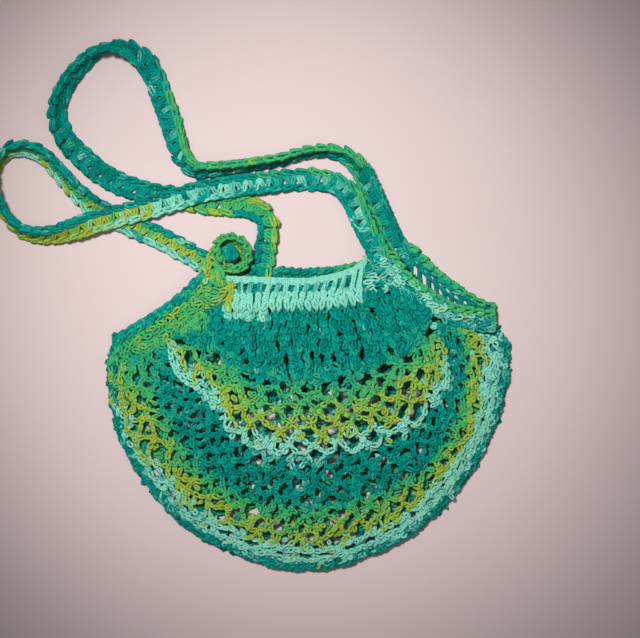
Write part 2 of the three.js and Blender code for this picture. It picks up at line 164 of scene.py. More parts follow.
# Openings through both layers of the net: place in the plan and radius, millimetres
GAPS = (
    (-63.8, -10.5, 3.7), (-66.8, -23.3, 3.9), (-93.8, -43.5, 5.1), (-85.5, -63.8, 3.9),
    (-58.5, -70.5, 4.9),
    (-27, -114, 3.9), (-48.8, -109.5, 3.7), (-36, -141.8, 3.7), (-35.3, -123.8, 4.1), (14.3, -107.3, 5.4),
    (17.3, -75.8, 5.1), (2.3, -127.5, 4.1), (16.5, -134.3, 3.9), (-24, -153, 3.7), (-39, -159.8, 3.4),
    (49.5, -51.8, 5.4), (51.8, -36.8, 3.7), (30, -74.3, 5.6), (23.3, -85.5, 4.9), (16.5, -97.5, 5.1),
    (48.8, -116.3, 4.1), (32.3, -159.8, 3.7), (77.3, -136.5, 3.7), (81.8, -89.3, 3.7), (9.8, -18.8, 3.2),
    (20.3, -26.3, 3.2),
)

# Dye along the way from the rim over the pale round to the fold, in turns of the dyeing
NET_DYES = (
    (0.0, 1.05), (0.4, 1.06), (0.48, 1.14), (0.56, 1.28), (0.64, 1.36), (0.72, 1.52), (0.85, 1.57),
    (0.91, 1.78), (0.99, 1.8), (1.03, 2.03), (1.4, 2.06), (1.47, 2.27), (1.55, 2.42), (1.6, 2.55),
    (1.7, 2.56), (1.77, 2.77), (1.93, 2.82), (1.97, 3.0), (2.0, 3.04),
)
# Dyes of the pale cord, the loose yarn end and the curl's middle
CORD_DYE = 1.8
END_DYE = 0.57
CURL_DYE = 0.02
# Waves in which the dye wanders along a row: number of them and strength in turns of the dyeing
DYE_WAVES = ((5, 0.045), (11, 0.035), (23, 0.03))

# Strap dyes: route row, then the dyes of the low edge, the middle and the high edge
FRONT_STRAP_DYES = (
    (0, 0.28, 0.96, 1.0), (4, 0.3, 0.97, 1.02), (6, 0.25, 0.96, 1.02), (9, 0.12, 0.92, 0.97),
    (10, 0.02, 0.91, 0.9), (11.5, 0.1, 0.9, 0.84), (12.5, -0.02, 0.58, 0.72), (16, -0.02, 0.56, 0.6),
    (19, 0.0, 0.5, 0.56), (21, 0.06, 0.4, 0.52), (24, 0.02, 0.36, 0.74), (27, 0.0, 0.4, 0.78),
    (30, -0.02, 0.54, 0.84), (33, -0.03, 0.54, 0.84), (34.5, 0.2, 0.48, 0.66), (36, 0.36, 0.4, 0.58),
    (44, 0.36, 0.4, 0.58),
)
BACK_STRAP_DYES = (
    (0, 0.02, 0.02, 0.3), (4, 0.02, 0.02, 0.3), (5.5, 0.3, 0.04, 0.26), (7, 0.3, 0.04, 0.0),
    (14, 0.3, 0.02, 0.0), (17, 0.3, 0.0, 0.02), (20, 0.1, 0.0, 0.02), (24, 0.02, 0.0, 0.05),
    (29, 0.02, 0.02, 0.08), (31, 0.05, 0.03, 0.12), (32, 0.1, 0.3, 0.5), (33.4, 0.3, 0.34, 0.5),
    (34.5, 0.48, 0.3, 0.03), (37, 0.5, 0.28, 0.02), (40, 0.4, 0.1, 0.02),
)
# Rim dyes: share along the rim, then the same three
FRONT_RIM_DYES = (
    (0.0, 0.42, 0.34, 1.02), (0.1, 0.34, 0.36, 1.02), (0.24, 0.5, 0.4, 1.02), (0.3, 0.52, 0.42, 1.0),
    (0.325, 0.6, 0.56, 0.74), (0.34, 0.8, 0.86, 0.8), (0.5, 0.79, 0.84, 0.79), (0.62, 0.79, 0.83, 0.79),
    (0.66, 0.8, 0.9, 0.8), (0.7, 0.9, 0.86, 0.34), (0.8, 0.96, 0.84, 0.3), (0.92, 0.92, 0.84, 0.3),
    (1.0, 0.97, 0.88, 0.3),
)
BACK_RIM_DYES = (
    (0.0, 0.3, 0.3, 0.02), (0.3, 0.3, 0.25, 0.02), (0.42, 0.25, 0.1, 0.03), (0.5, 0.2, 0.05, 0.05),
    (0.56, 0.3, 0.1, 0.2), (0.63, 0.3, 0.1, 0.32), (0.75, 0.1, 0.02, 0.3), (1.0, 0.05, 0.03, 0.3),
)

# Yarn finish: noise scales per metre of the dye's wander, the fibres and the flecks, width of the wander
# in turns of the dyeing and depth of the plies in metres
WANDER_SCALE = 260.0
FIBRE_SCALE = 2600.0
FLECK_SCALE = 420.0
WANDER_WIDTH = 0.16
PLY_RELIEF = 0.0004

# Chain stitches: the most in one arch, their lap behind, reach ahead and half width as shares of the
# stitch, and their lean to either side in radians
CHAIN_MOST = 6
CHAIN_LAP = 0.22
CHAIN_REACH = 0.78
CHAIN_HALF = 0.345
CHAIN_LEAN = 0.3

# Net: share of the rim's bottom line where the front layer starts, and the share that it hangs from
NET_START = 0.19
NET_SPAN = 0.63
# Gathers: their first row and their depth as shares of the pouch, waves side by side, strand size and
# heights of their two layers over the net in millimetres
GATHER_START = -0.02
GATHER_DEPTH = 0.53
GATHER_WAVES = 13
GATHER_SIZE = 1.12
GATHER_LAYERS = (0.0, 1.1)
# Pouch and skirt: rows of open arches, the share of the pouch where they begin, waves round the skirt,
# and how far inside the fold the front and back layers end in millimetres
POUCH_ROWS = 9
POUCH_START = 0.44
SKIRT_WAVES = 17
FRONT_END = 4.0
BACK_END = 3.8
# Stray loops that roughen the gathers, the pouch and the skirt
GATHER_LOOPS = 240
POUCH_LOOPS = 260
SKIRT_LOOPS = 620
# Stitches in a whole chain along the fold, how many fewer for each millimetre inside it, and the
# fold's mean radius in millimetres
FOLD_STITCHES = 122
FOLD_FEWER = 1.6
FOLD_RADIUS = 165

# Rim, millimetres: where the arms start beside the corners and how far arms and scoop overlap the seats
ARM_START = 3.5
SEAT_OVERLAP = 2
# Arms of a rim, left then right: insets of the edge chains and turn of the short loops
ARM_EDGES = ((3.9, 6.6), (3.9,))
ARM_TURNS = (-0.4, 0.35)
# Openwork arm, insets: top and foot of its posts, chain along its middle, strands under that
OPEN_POSTS = (4.8, 1.0)
OPEN_CHAIN = 7.2
OPEN_STRANDS = (12.6, 13.6)
# Scoop between the seats: insets of its strands or chain, top and foot of its posts, and its lower rows
# by place over the bottom edge, height and loop length
SCOOP_STRANDS = (0.7, 2.0, 3.3, 4.5)
SCOOP_CHAIN = 1.4
SCOOP_POSTS = (4.0, 5.0)
SCOOP_ROWS = ((5.0, 1.6, 6.0), (2.6, 2.5, 6.0), (0.0, 3.4, 6.5), (-2.4, 4.2, 7.5))
# Loose yarn end: its start, its run in the plan, its sag and its radius
END_START = (-60, 29.3)
END_RUN = (-18, -12.7)
END_SAG = 5
END_RADIUS = 0.6
# Strap: inset of its edge chains and the three stitches of a group by shift in pitches and lean
STRAP_INSET = 4.5
STRAP_GROUP = ((-0.27, -0.3), (0.0, 0.12), (0.27, 0.4))

# Stage, metres: lamps by name, kind, place, aim, size and share of the main light's power. The lens
# and its sensor are in millimetres
LAMPS = (
    ("main_light", "SPOT", (-0.2, 0.33, 1.3), (0.03, 0.022), 0.1, 1.0),
    ("fill_light", "AREA", (0.5, -0.2, 1.5), (0.0, 0.0), 1.2, 0.02),
)
SKY_STRENGTH = 0.15
FLOOR_REACH = 3.0
CAMERA_PLAN = (0.0518, -0.0093)
LENS = 97.5
SENSOR = 36


def linear(red, green, blue):
    """Linear colour of an 8-bit one."""
    shares = [value / 255 for value in (red, green, blue)]
    return tuple(v / 12.92 if v <= 0.04045 else ((v + 0.055) / 1.055) ** 2.4 for v in shares)


def smooth(low, high, value):
    """Smooth 0 to 1 between two limits."""
    share = np.clip((np.asarray(value, float) - low) / (high - low), 0, 1)
    return share * share * (3 - 2 * share)


def unit(vectors):
    """Vectors brought to length one."""
    return vectors / np.maximum(np.linalg.norm(vectors, axis=-1, keepdims=True), 1e-9)


def outline_reach(turn):
    """Reach share of the fold outline at turns in degrees."""
    turns = np.array([row[0] for row in OUTLINE], float)
    reaches = np.array([row[1] for row in OUTLINE])
    turn = np.clip(turn, turns[0], turns[-1])
    after = np.clip(np.searchsorted(turns, turn), 1, len(turns) - 1)
    share = smooth(0, 1, (turn - turns[after - 1]) / (turns[after] - turns[after - 1]))
    return reaches[after - 1] + (reaches[after] - reaches[after - 1]) * share


def outline_point(turn):
    """Plan points of the fold outline at turns in degrees."""
    angle = np.radians(180 + np.asarray(turn, float))
    reach = outline_reach(turn)
    return np.stack([HALF_WIDTH * np.cos(angle) * reach, BAG_DEPTH * np.sin(angle) * reach], -1)


def front_height(plan):
    """Underside of the front layer over plan points: a pillow that ends at the fold."""
    across = plan[..., 0] / HALF_WIDTH
    below = plan[..., 1] < 0
    down = plan[..., 1] / np.where(below, BAG_DEPTH, HALF_WIDTH)
    turn = np.where(below, np.degrees(np.arctan2(-down, -across)), np.where(across < 0, 0, 180))
    spread = np.hypot(across, down) / outline_reach(turn)
    return FABRIC_THICK + CLEARANCE + PUFF * np.maximum(0, 1 - spread**3)


def back_height(plan):
    """Underside of the back layer, which lies on the floor."""
    return np.zeros(plan.shape[:-1])


def seat_frame(name):
    """Centre, side direction and outward direction of a strap seat."""
    x, y, lean = SEATS[name]
    lean = math.radians(lean)
    centre = np.array([x * HALF_WIDTH, y * MOUTH_HEIGHT])
    return centre, np.array([math.cos(lean), math.sin(lean)]), np.array([-math.sin(lean), math.cos(lean)])


def rim_edges(rows):
    """Top and bottom plan points of every rim row, seat rows giving two."""
    tops, bottoms = [], []
    for first, second, third in rows:
        if isinstance(first, str):
            centre, side, _ = seat_frame(first)
            half = STRAP_WIDTH / 2 + SEAT_MARGIN
            ends = ((centre - side * half, second), (centre + side * half, third))
        else:
            ends = ((np.array([first * HALF_WIDTH, second * MOUTH_HEIGHT]), third),)
        for top, deep in ends:
            tops.append(top)
            bottoms.append(top - np.array([0, deep * RIM_WIDTH]))
    return np.array(tops), np.array(bottoms)


def catmull_rom(points, shares):
    """Points of a centripetal Catmull-Rom curve at shares of its row count."""
    rows = np.asarray(points, float)
    last = len(rows) - 1
    place = np.clip(np.asarray(shares, float) * last, 0, last - 1e-9)
    k = place.astype(int)
    local = (place - k)[:, None]
    first = np.vstack([2 * rows[0] - rows[1], rows, 2 * rows[-1] - rows[-2]])
    p0, p1, p2, p3 = first[k], first[k + 1], first[k + 2], first[k + 3]
    g0, g1, g2 = (
        np.maximum(((b - a) ** 2).sum(1), 1e-8)[:, None] ** 0.25
        for a, b in ((p0, p1), (p1, p2), (p2, p3))
    )
    start = ((p1 - p0) / g0 - (p2 - p0) / (g0 + g1) + (p2 - p1) / g1) * g1
    end = ((p2 - p1) / g1 - (p3 - p1) / (g1 + g2) + (p3 - p2) / g2) * g1
    square, cube = local**2, local**3
    return (
        p1 * (2 * cube - 3 * square + 1) + p2 * (3 * square - 2 * cube)
        + start * (cube - 2 * square + local) + end * (cube - square)
    )


def polyline(points, shares):
    """Points of a polyline at shares of its length."""
    rows = np.asarray(points, float)
    lengths = np.concatenate([[0], np.cumsum(np.linalg.norm(np.diff(rows, axis=0), axis=1))])
    place = np.asarray(shares, float) * lengths[-1]
    return np.stack([np.interp(place, lengths, rows[:, axis]) for axis in range(rows.shape[1])], -1)


def rounded(points, count=240, spread=5):
    """A polyline's points evened out and with its corners softened, the ends kept."""
    even = polyline(points, np.linspace(0, 1, count))
    weights = np.exp(-0.5 * (np.arange(-3 * spread, 3 * spread + 1) / spread) ** 2)
    weights /= weights.sum()
    head = 2 * even[0] - even[3 * spread:0:-1]
    tail = 2 * even[-1] - even[-2:-3 * spread - 2:-1]
    padded = np.vstack([head, even, tail])
    return np.stack([np.convolve(padded[:, axis], weights, "valid") for axis in range(even.shape[1])], -1)


FRONT_EDGES = rim_edges(RIM_FRONT)
BACK_EDGES = rim_edges(RIM_BACK)
# The plan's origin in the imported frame, from the front rim's right half
RIM_CORNER = np.array(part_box("rim_front")[1][:2]) / MM
PLAN_SHIFT = RIM_CORNER - np.vstack(FRONT_EDGES).max(axis=0)


class Yarn:
    """Strands of yarn, gathered as paths and built as one mesh of closed tubes."""

    # Yarn inside an opening moves out to its ring and keeps this share of its depth
    RING_SHARE = 0.25
    # Loops: width at the narrow start, its growth to the far end and the swell of the arch
    LOOP_START = 0.5
    LOOP_GROWTH = 0.62
    LOOP_SWELL = 0.35
    # Lowest yarn over the floor, millimetres
    LOWEST = 0.05

    def __init__(self, seed, gaps=()):
        self.random = np.random.default_rng(seed)
        self.gaps = gaps
        self.places, self.faces, self.dyes, self.lays = [], [], [], []
        self.count = 0

    def stray(self, spread, shape):
        """Random numbers round nought with a spread."""
        return self.random.normal(0, spread, shape)

    def strands(self, paths, radius, dye, closed=False, sides=5, flat=None):
        """Add tubes along paths, an array of strands by points by three."""
        paths = np.array(paths, float)
        for x, y, size in self.gaps:
            off = paths[..., :2] - (x, y)
            far = np.maximum(np.hypot(off[..., 0], off[..., 1]), 0.05)
            ring = (1 - self.RING_SHARE) * size + self.RING_SHARE * far
            push = np.where(far < size, ring / far, 1)
            paths[..., :2] = off * push[..., None] + (x, y)
        number, points, _ = paths.shape
        if not number:
            return
        if closed:
            steps = np.roll(paths, -1, 1) - paths
            ahead = unit(steps + np.roll(steps, 1, 1))
            lengths = np.linalg.norm(steps, axis=2)
            along = np.cumsum(lengths, axis=1) - lengths
        else:
            steps = np.diff(paths, axis=1)
            ahead = unit(np.gradient(paths, axis=1))
            lengths = np.linalg.norm(steps, axis=2)
            along = np.concatenate([np.zeros((number, 1)), np.cumsum(lengths, axis=1)], axis=1)
        if flat is None:
            centred = paths - paths.mean(axis=1, keepdims=True)
            _, axes = np.linalg.eigh(np.einsum("nmi,nmj->nij", centred, centred))
            flat = np.broadcast_to(axes[:, None, :, 0], paths.shape)
        side = unit(np.cross(ahead, flat))
        up = np.cross(side, ahead)
        turn = 2 * math.pi * np.arange(sides) / sides
        radius = np.broadcast_to(np.asarray(radius, float), (number, points))[:, :, None, None]
        cos, sin = np.cos(turn)[:, None], np.sin(turn)[:, None]
        rings = paths[:, :, None] + radius * (cos * side[:, :, None] + sin * up[:, :, None])
        dye = np.asarray(dye, float)
        dye = dye[:, None] if dye.ndim == 1 else dye
        dye = np.broadcast_to(dye, (number, points))
        lay = np.empty((number, points, sides, 3))
        lay[..., 0] = np.cos(turn)
        lay[..., 1] = np.sin(turn)
        lay[..., 2] = along[:, :, None]
        first = self.count + np.arange(number)[:, None, None] * points * sides
        ring = np.arange(points if closed else points - 1)[None, :, None]
        following = (ring + 1) % points
        corner = np.arange(sides)[None, None, :]
        beside = (corner + 1) % sides
        quads = np.stack([
            first + ring * sides + corner, first + following * sides + corner,
            first + following * sides + beside, first + ring * sides + beside,
        ], -1).reshape(-1, 4)
        self.faces.append(quads)
        if not closed:
            fan = np.arange(sides)
            last = first[:, 0] + (points - 1) * sides
            self.faces += [first[:, 0] + fan, last + fan[::-1]]
        self.places.append(rings.reshape(-1, 3))
        self.dyes.append(np.repeat(dye.reshape(-1), sides))
        self.lays.append(lay.reshape(-1, 3))
        self.count += number * points * sides

    def links(self, start, along, across, up, length, half, rise, radius, dye, points=9, sides=5,
              knob=0.2):
        """Add teardrop loops from their narrow starts along a direction: far ends up and thicker."""
        turn = 2 * math.pi * np.arange(points) / points
        out = (1 - np.cos(turn)) / 2
        width = np.sin(turn) * (self.LOOP_START + self.LOOP_GROWTH * out)
        arch = out * 2 - 1 + self.LOOP_SWELL * np.sin(math.pi * out)
        length, half, rise = (
            np.broadcast_to(size, len(start))[:, None, None] for size in (length, half, rise)
        )
        paths = start[:, None] + along[:, None] * length * out[None, :, None]
        paths = paths + across[:, None] * half * width[None, :, None]
        paths = paths + up[:, None] * rise * arch[None, :, None]
        radius = np.asarray(radius, float) * (1 - knob / 2 + knob * out)
        self.strands(paths, radius, dye, closed=True, sides=sides)

    def knit(self, band, where, wide, high, angle, length, half, rise, radius, dye, points=8, knob=0.2):
        """Add teardrop loops on a band, centred at distances along and across it, turned by an angle."""
        where, wide, high, angle = np.broadcast_arrays(where, wide, high, angle)
        ahead, up = unit(band.at(where, band.ahead)), unit(band.at(where, band.up))
        across = np.cross(up, ahead)
        cos, sin = np.cos(angle)[:, None], np.sin(angle)[:, None]
        along, side = ahead * cos + across * sin, across * cos - ahead * sin
        start = band.points(where, wide, high) - along * np.broadcast_to(length, where.shape)[:, None] / 2
        self.links(start, along, side, up, length, half, rise, radius, dye, points, knob=knob)

    def piece(self, name, slot, *nodes):
        """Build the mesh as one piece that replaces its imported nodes."""
        places = np.concatenate(self.places)
        places[:, :2] += PLAN_SHIFT
        places[:, 2] = np.maximum(places[:, 2], self.LOWEST)
        mesh = bpy.data.meshes.new(name)
        mesh.vertices.add(len(places))
        mesh.vertices.foreach_set("co", (places * MM).ravel())
        sizes = np.concatenate([np.full(len(faces), faces.shape[1]) for faces in self.faces])
        mesh.loops.add(int(sizes.sum()))
        mesh.loops.foreach_set("vertex_index", np.concatenate([faces.ravel() for faces in self.faces]))
        mesh.polygons.add(len(sizes))
        mesh.polygons.foreach_set("loop_start", np.cumsum(sizes) - sizes)
        mesh.polygons.foreach_set("use_smooth", np.ones(len(sizes), bool))
        mesh.update(calc_edges=True)
        dye = mesh.attributes.new("dye", "FLOAT", "POINT")
        dye.data.foreach_set("value", np.concatenate(self.dyes).astype(np.float32))
        lay = mesh.attributes.new("lay", "FLOAT_VECTOR", "POINT")
        lay.data.foreach_set("vector", np.concatenate(self.lays).astype(np.float32).ravel())
        mesh.validate()
        mesh.materials.append(finish_of(slot))
        piece = bpy.data.objects.new(name, mesh)
        bpy.context.scene.collection.objects.link(piece)
        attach(piece, "root")
        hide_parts(*nodes)


class Wire:
    """One socket of a node tree, so that shader maths reads as Python."""

    def __init__(self, finish, socket):
        self.finish, self.socket = finish, socket

    def maths(self, operation, *values):
        """Math node on this socket and more values or sockets."""
        node = self.finish.node("ShaderNodeMath", {"operation": operation}, (self,) + values)
        return Wire(self.finish, node.outputs[0])

    def __add__(self, other):
        return self.maths("ADD", other)

    __radd__ = __add__

    def __sub__(self, other):
        return self.maths("SUBTRACT", other)

    def __rsub__(self, other):
        return self.maths("MULTIPLY", -1).maths("ADD", other)

    def __mul__(self, other):
        return self.maths("MULTIPLY", other)

    __rmul__ = __mul__


class Finish:
    """A material made of nodes."""

    def __init__(self, name):
        self.material = bpy.data.materials.new(name)
        self.material.use_nodes = True
        self.tree = self.material.node_tree
        self.shader = self.tree.nodes["Principled BSDF"]

    def connect(self, socket, value):
        """Set a socket to a value, or link it to a wire."""
        if isinstance(value, Wire):
            self.tree.links.new(value.socket, socket)
        elif value is not None:
            socket.default_value = value

    def node(self, kind, settings=None, inputs=()):
        """Any node: its settings first, then its sockets by name or in order."""
        node = self.tree.nodes.new(kind)
        for setting, value in (settings or {}).items():
            if setting == "stops":
                while len(node.color_ramp.elements) < len(value):
                    node.color_ramp.elements.new(1)
                for element, (place, colour) in zip(node.color_ramp.elements, value):
                    element.position = place
                    element.color = (*colour, 1)
            else:
                setattr(node, setting, value)
        if isinstance(inputs, dict):
            for socket, value in inputs.items():
                self.connect(node.inputs[socket], value)
        else:
            for socket, value in zip(node.inputs, inputs):
                self.connect(socket, value)
        return node

    def wire(self, node, socket=0):
        """A node's output as a wire."""
        return Wire(self, node.outputs[socket])

    def noise(self, place, scale, detail=2.0):
        """Noise from 0 to 1 over the object's own coordinates."""
        node = self.node("ShaderNodeTexNoise", {"noise_dimensions": "3D"},
                         {"Vector": place, "Scale": scale, "Detail": detail})
        return self.wire(node, "Fac")


def yarn_finish(name, settings):
    """Space-dyed cotton yarn: colour from the dye's turn, random flecks, painted shade in the ply grooves,
    plied relief and a soft fuzz.
    """
    finish = Finish(name)
    place = finish.wire(finish.node("ShaderNodeTexCoord"), "Object")
    dye = finish.wire(finish.node("ShaderNodeAttribute", {"attribute_name": "dye"}), "Fac")
    lay = finish.wire(finish.node("ShaderNodeAttribute", {"attribute_name": "lay"}), "Vector")
    teal, green, lime, mint = (
        np.array(colour) for colour in (settings.teal, settings.green, settings.lime, settings.mint)
    )
    # deep: teal darkened to 0.62, a painted shade stop; yarn dyed near 0.05, chiefly the back layer, takes
    # it so that it reads as shaded
    deep = teal * 0.62
    leaf = (green + teal) / 2
    gold = lime * (1.12, 0.86, 0.8)
    aqua = mint * 0.45 + teal * 0.55
    stops = (
        (0.0, teal), (0.05, deep), (0.12, teal), (0.22, leaf), (0.3, green), (0.42, green), (0.53, lime),
        (0.6, gold), (0.66, lime), (0.74, mint), (0.84, mint), (0.9, aqua), (0.96, teal), (1.0, teal),
    )
    wander = (finish.noise(place, WANDER_SCALE) - 0.5) * WANDER_WIDTH
    turn = (dye + wander).maths("FRACT")
    ramp = finish.node("ShaderNodeValToRGB", {"stops": stops}, (turn,))
    parts = finish.node("ShaderNodeSeparateXYZ", None, (lay,))
    around = finish.wire(parts, "Y").maths("ARCTAN2", finish.wire(parts, "X"))
    twist = 2 * math.pi / (settings.twist / MM)
    ply = (around * settings.plies + finish.wire(parts, "Z") * twist).maths("SINE")
    fibre = finish.noise(place, FIBRE_SCALE, 3.0)
    # Base colour scaled by random flecks and fibres, the cotton's own tone, and by the ply pattern, which
    # is painted shade in the grooves between the plies
    fleck_tone_and_ply_shade = finish.noise(place, FLECK_SCALE) * 0.5 + fibre * 0.35 + ply * 0.1 + 0.6
    scaled = finish.node("ShaderNodeVectorMath", {"operation": "SCALE"},
                         {"Vector": finish.wire(ramp), "Scale": fleck_tone_and_ply_shade})
    finish.connect(finish.shader.inputs["Base Color"], finish.wire(scaled))
    bump = finish.node("ShaderNodeBump", None,
                       {"Height": ply * 0.5 + fibre * 0.6, "Strength": 0.6, "Distance": PLY_RELIEF})
    finish.connect(finish.shader.inputs["Normal"], finish.wire(bump))
    finish.shader.inputs["Roughness"].default_value = settings.roughness
    finish.shader.inputs["Sheen Weight"].default_value = settings.fuzz
    finish.shader.inputs["Sheen Roughness"].default_value = 0.5
    finish.shader.inputs["Specular IOR Level"].default_value = 0.06
    return finish.material


def settings_of(name):
    """One property group of the scene."""
    return getattr(bpy.context.scene, name)


def finish_of(slot):
    """The yarn finish of a slot, made once."""
    name = slot.replace("yarn", "cotton")
    return bpy.data.materials.get(name) or yarn_finish(name, settings_of("bag_yarn"))


def across_plan(along):
    """Left-hand horizontal direction beside 3-D directions."""
    flat = np.stack([-along[..., 1], along[..., 0], np.zeros(along.shape[:-1])], -1)
    return unit(flat)


def tilted(along, tilt):
    """Sideways and upward directions round a direction, tilted out of the level."""
    side = across_plan(along)
    up = np.cross(along, side)
    return side * np.cos(tilt) + up * np.sin(tilt), up * np.cos(tilt) - side * np.sin(tilt)


def chain(yarn, start, end, bow, dye_start, dye_end, stitch, size=1.0, points=9, sides=5):
    """Chains of linked loops from start points to end points, each bowed sideways."""
    strand = settings_of("bag_yarn").strand / MM * size
    random = yarn.random
    length = np.linalg.norm(end - start, axis=1)
    wanted = np.clip(np.round(length / stitch), 1, CHAIN_MOST).astype(int)
    for count in np.unique(wanted):
        pick = wanted == count
        a, b, bend = start[pick], end[pick], bow[pick]
        for step in range(count):
            early, late = step / count, (step + 1) / count
            near = a + (b - a) * early + bend * (4 * early * (1 - early))
            far = a + (b - a) * late + bend * (4 * late * (1 - late))
            span = np.linalg.norm(far - near, axis=1)
            along = unit(far - near + yarn.stray(0.1 * stitch, near.shape))
            lean = CHAIN_LEAN if step % 2 else -CHAIN_LEAN
            tilt = lean + yarn.stray(0.45, len(near))[:, None]
            across, normal = tilted(along, tilt)
            wide = stitch * CHAIN_HALF * random.uniform(0.8, 1.25, len(near))
            dye = dye_start[pick] + (dye_end[pick] - dye_start[pick]) * (early + late) / 2
            dye = dye + yarn.stray(0.04, len(near))
            yarn.links(near - along * stitch * CHAIN_LAP, along, across, normal,
                       length=span * 0.5 + stitch * CHAIN_REACH, half=wide, rise=strand * 0.75,
                       radius=strand * random.uniform(0.88, 1.1, len(near))[:, None], dye=dye,
                       points=points, sides=sides)


def lattice(yarn, place, rows, columns, dye_at, stitch, jitter=1.0, keep=None, points=9, sides=5):
    """Arches of chain between staggered rows: place gives 3-D points for a share along and a row."""
    stagger = 0.5 * (np.arange(rows + 1)[:, None] % 2)
    share = (np.arange(columns + 1)[None, :] + stagger) / columns
    share = share + yarn.stray(0.16, share.shape) / columns * jitter
    row = np.broadcast_to(np.arange(rows + 1)[:, None], share.shape)
    row = row + yarn.stray(0.2, share.shape) * jitter
    share = np.clip(share, 0, 1)
    nodes = place(share, row)
    nodes[..., 2] += yarn.stray(0.5 * jitter, share.shape)
    dyes = dye_at(share, row)
    ok = np.ones(share.shape, bool) if keep is None else keep(share, row)
    arches = []
    for line in range(rows):
        here = np.arange(columns + 1)
        for step in (0, 1 if line % 2 else -1):
            there = here + step
            fine = (there >= 0) & (there <= columns)
            a, b = here[fine], there[fine]
            fine = ok[line, a] & ok[line + 1, b]
            a, b = a[fine], b[fine]
            bulge = np.full(len(a), -1.0 if (step == 0) == (line % 2 == 0) else 1.0)
            arches.append((nodes[line, a], nodes[line + 1, b], dyes[line, a], dyes[line + 1, b], bulge))
    start, end, front, back, bulge = (np.concatenate(column) for column in zip(*arches))
    length = np.linalg.norm(end - start, axis=1)
    real = length > 1.5
    start, end, front, back, bulge, length = (
        column[real] for column in (start, end, front, back, bulge, length)
    )
    side = across_plan(unit(end - start))
    bow = side * ((0.12 * bulge + yarn.stray(0.09, len(start))) * length)[:, None]
    bow[:, 2] += np.abs(yarn.stray(0.05, len(start))) * length
    chain(yarn, start, end, bow, front, back, stitch, points=points, sides=sides)


def ribs(yarn, place, columns, rows, dye_at, stitch, size, lift):
    """Chains that run down through the rows, side by side and each in its own waves."""
    random = yarn.random
    share = (np.arange(columns)[:, None] + random.uniform(0.3, 0.7, (columns, 1))) / columns
    share = np.clip(share + yarn.stray(0.35 / columns, (columns, rows + 1)), 0, 1)
    row = np.arange(rows + 1)[None] + yarn.stray(0.15, share.shape)
    nodes = place(share, row)
    nodes[..., 2] += lift + yarn.stray(0.5, share.shape)
    dyes = dye_at(share, row)
    start, end = nodes[:, :-1].reshape(-1, 3), nodes[:, 1:].reshape(-1, 3)
    side = across_plan(unit(end - start))
    length = np.linalg.norm(end - start, axis=1)
    bow = side * (yarn.stray(0.16, len(start)) * length)[:, None]
    chain(yarn, start, end, bow, dyes[:, :-1].ravel(), dyes[:, 1:].ravel(), stitch, size, points=8)


def run_chain(yarn, points, dye, spread, stitch):
    """One chain from point to point in its own dye."""
    dyes = dye + yarn.stray(spread, len(points))
    straight = np.zeros((len(points) - 1, 3))
    chain(yarn, points[:-1], points[1:], straight, dyes[:-1], dyes[1:], stitch, points=8)


def stray_loops(yarn, place, shares, rows, dye_at, count, stitch, sides=5):
    """Short loops that stand every way out of the net and roughen it."""
    random = yarn.random
    share, row = random.uniform(*shares, count), random.uniform(*rows, count)
    point = place(share, row)
    ahead = place(np.clip(share + 0.004, 0, 1), row) - point
    turn = random.uniform(0, 2 * math.pi, count)[:, None]
    level = unit(ahead * np.array([1, 1, 0]) + np.array([1e-6, 0, 0]))
    heading = level * np.cos(turn) + across_plan(level) * np.sin(turn)
    along = unit(heading + yarn.stray(0.15, point.shape))
    across, up = tilted(along, yarn.stray(0.8, count)[:, None])
    strand = settings_of("bag_yarn").strand / MM
    point[:, 2] += random.normal(0.2, 0.5, count)
    yarn.links(point - along * stitch / 2, along, across, up,
               length=stitch * random.uniform(0.8, 1.4, count), half=stitch * 0.3, rise=strand * 0.5,
               radius=strand * random.uniform(0.8, 1.05, count)[:, None],
               dye=dye_at(share, row) + yarn.stray(0.05, count), points=8, sides=sides)


def net_dye(way):
    """Dye of the net on its way from the rim, 0, over the pale round, 1, to the fold, 2."""
    keys = np.array(NET_DYES)
    return np.interp(way, keys[:, 0], keys[:, 1])


def patches(share, row, seed):
    """Dye that wanders along the rows, as the yarn runs on from arch to arch."""
    wander = np.zeros(np.shape(share))
    for turns, size in DYE_WAVES:
        phase = turns * share + 0.37 * seed + 0.618 * turns * row
        wander = wander + size * np.sin(2 * math.pi * phase)
    return wander


def along_line(line, share):
    """Plan points on an even line at shares of it."""
    index = np.linspace(0, 1, len(line))
    return np.stack([np.interp(share, index, line[:, 0]), np.interp(share, index, line[:, 1])], -1)


def part_way(inner, outer, share, inset):
    """Points a share of the way from one line to the next, kept a little short of the outer one."""
    gap = np.linalg.norm(outer - inner, axis=-1)
    most = 1 - inset / np.maximum(gap, inset)
    return inner + (outer - inner) * np.minimum(share, most)[..., None]


def fold_line():
    """The fold, from the left corner round to the right one."""
    turns = np.linspace(FOLD_TURNS[0], FOLD_TURNS[1], 120)
    return rounded(outline_point(turns), count=300, spread=2)


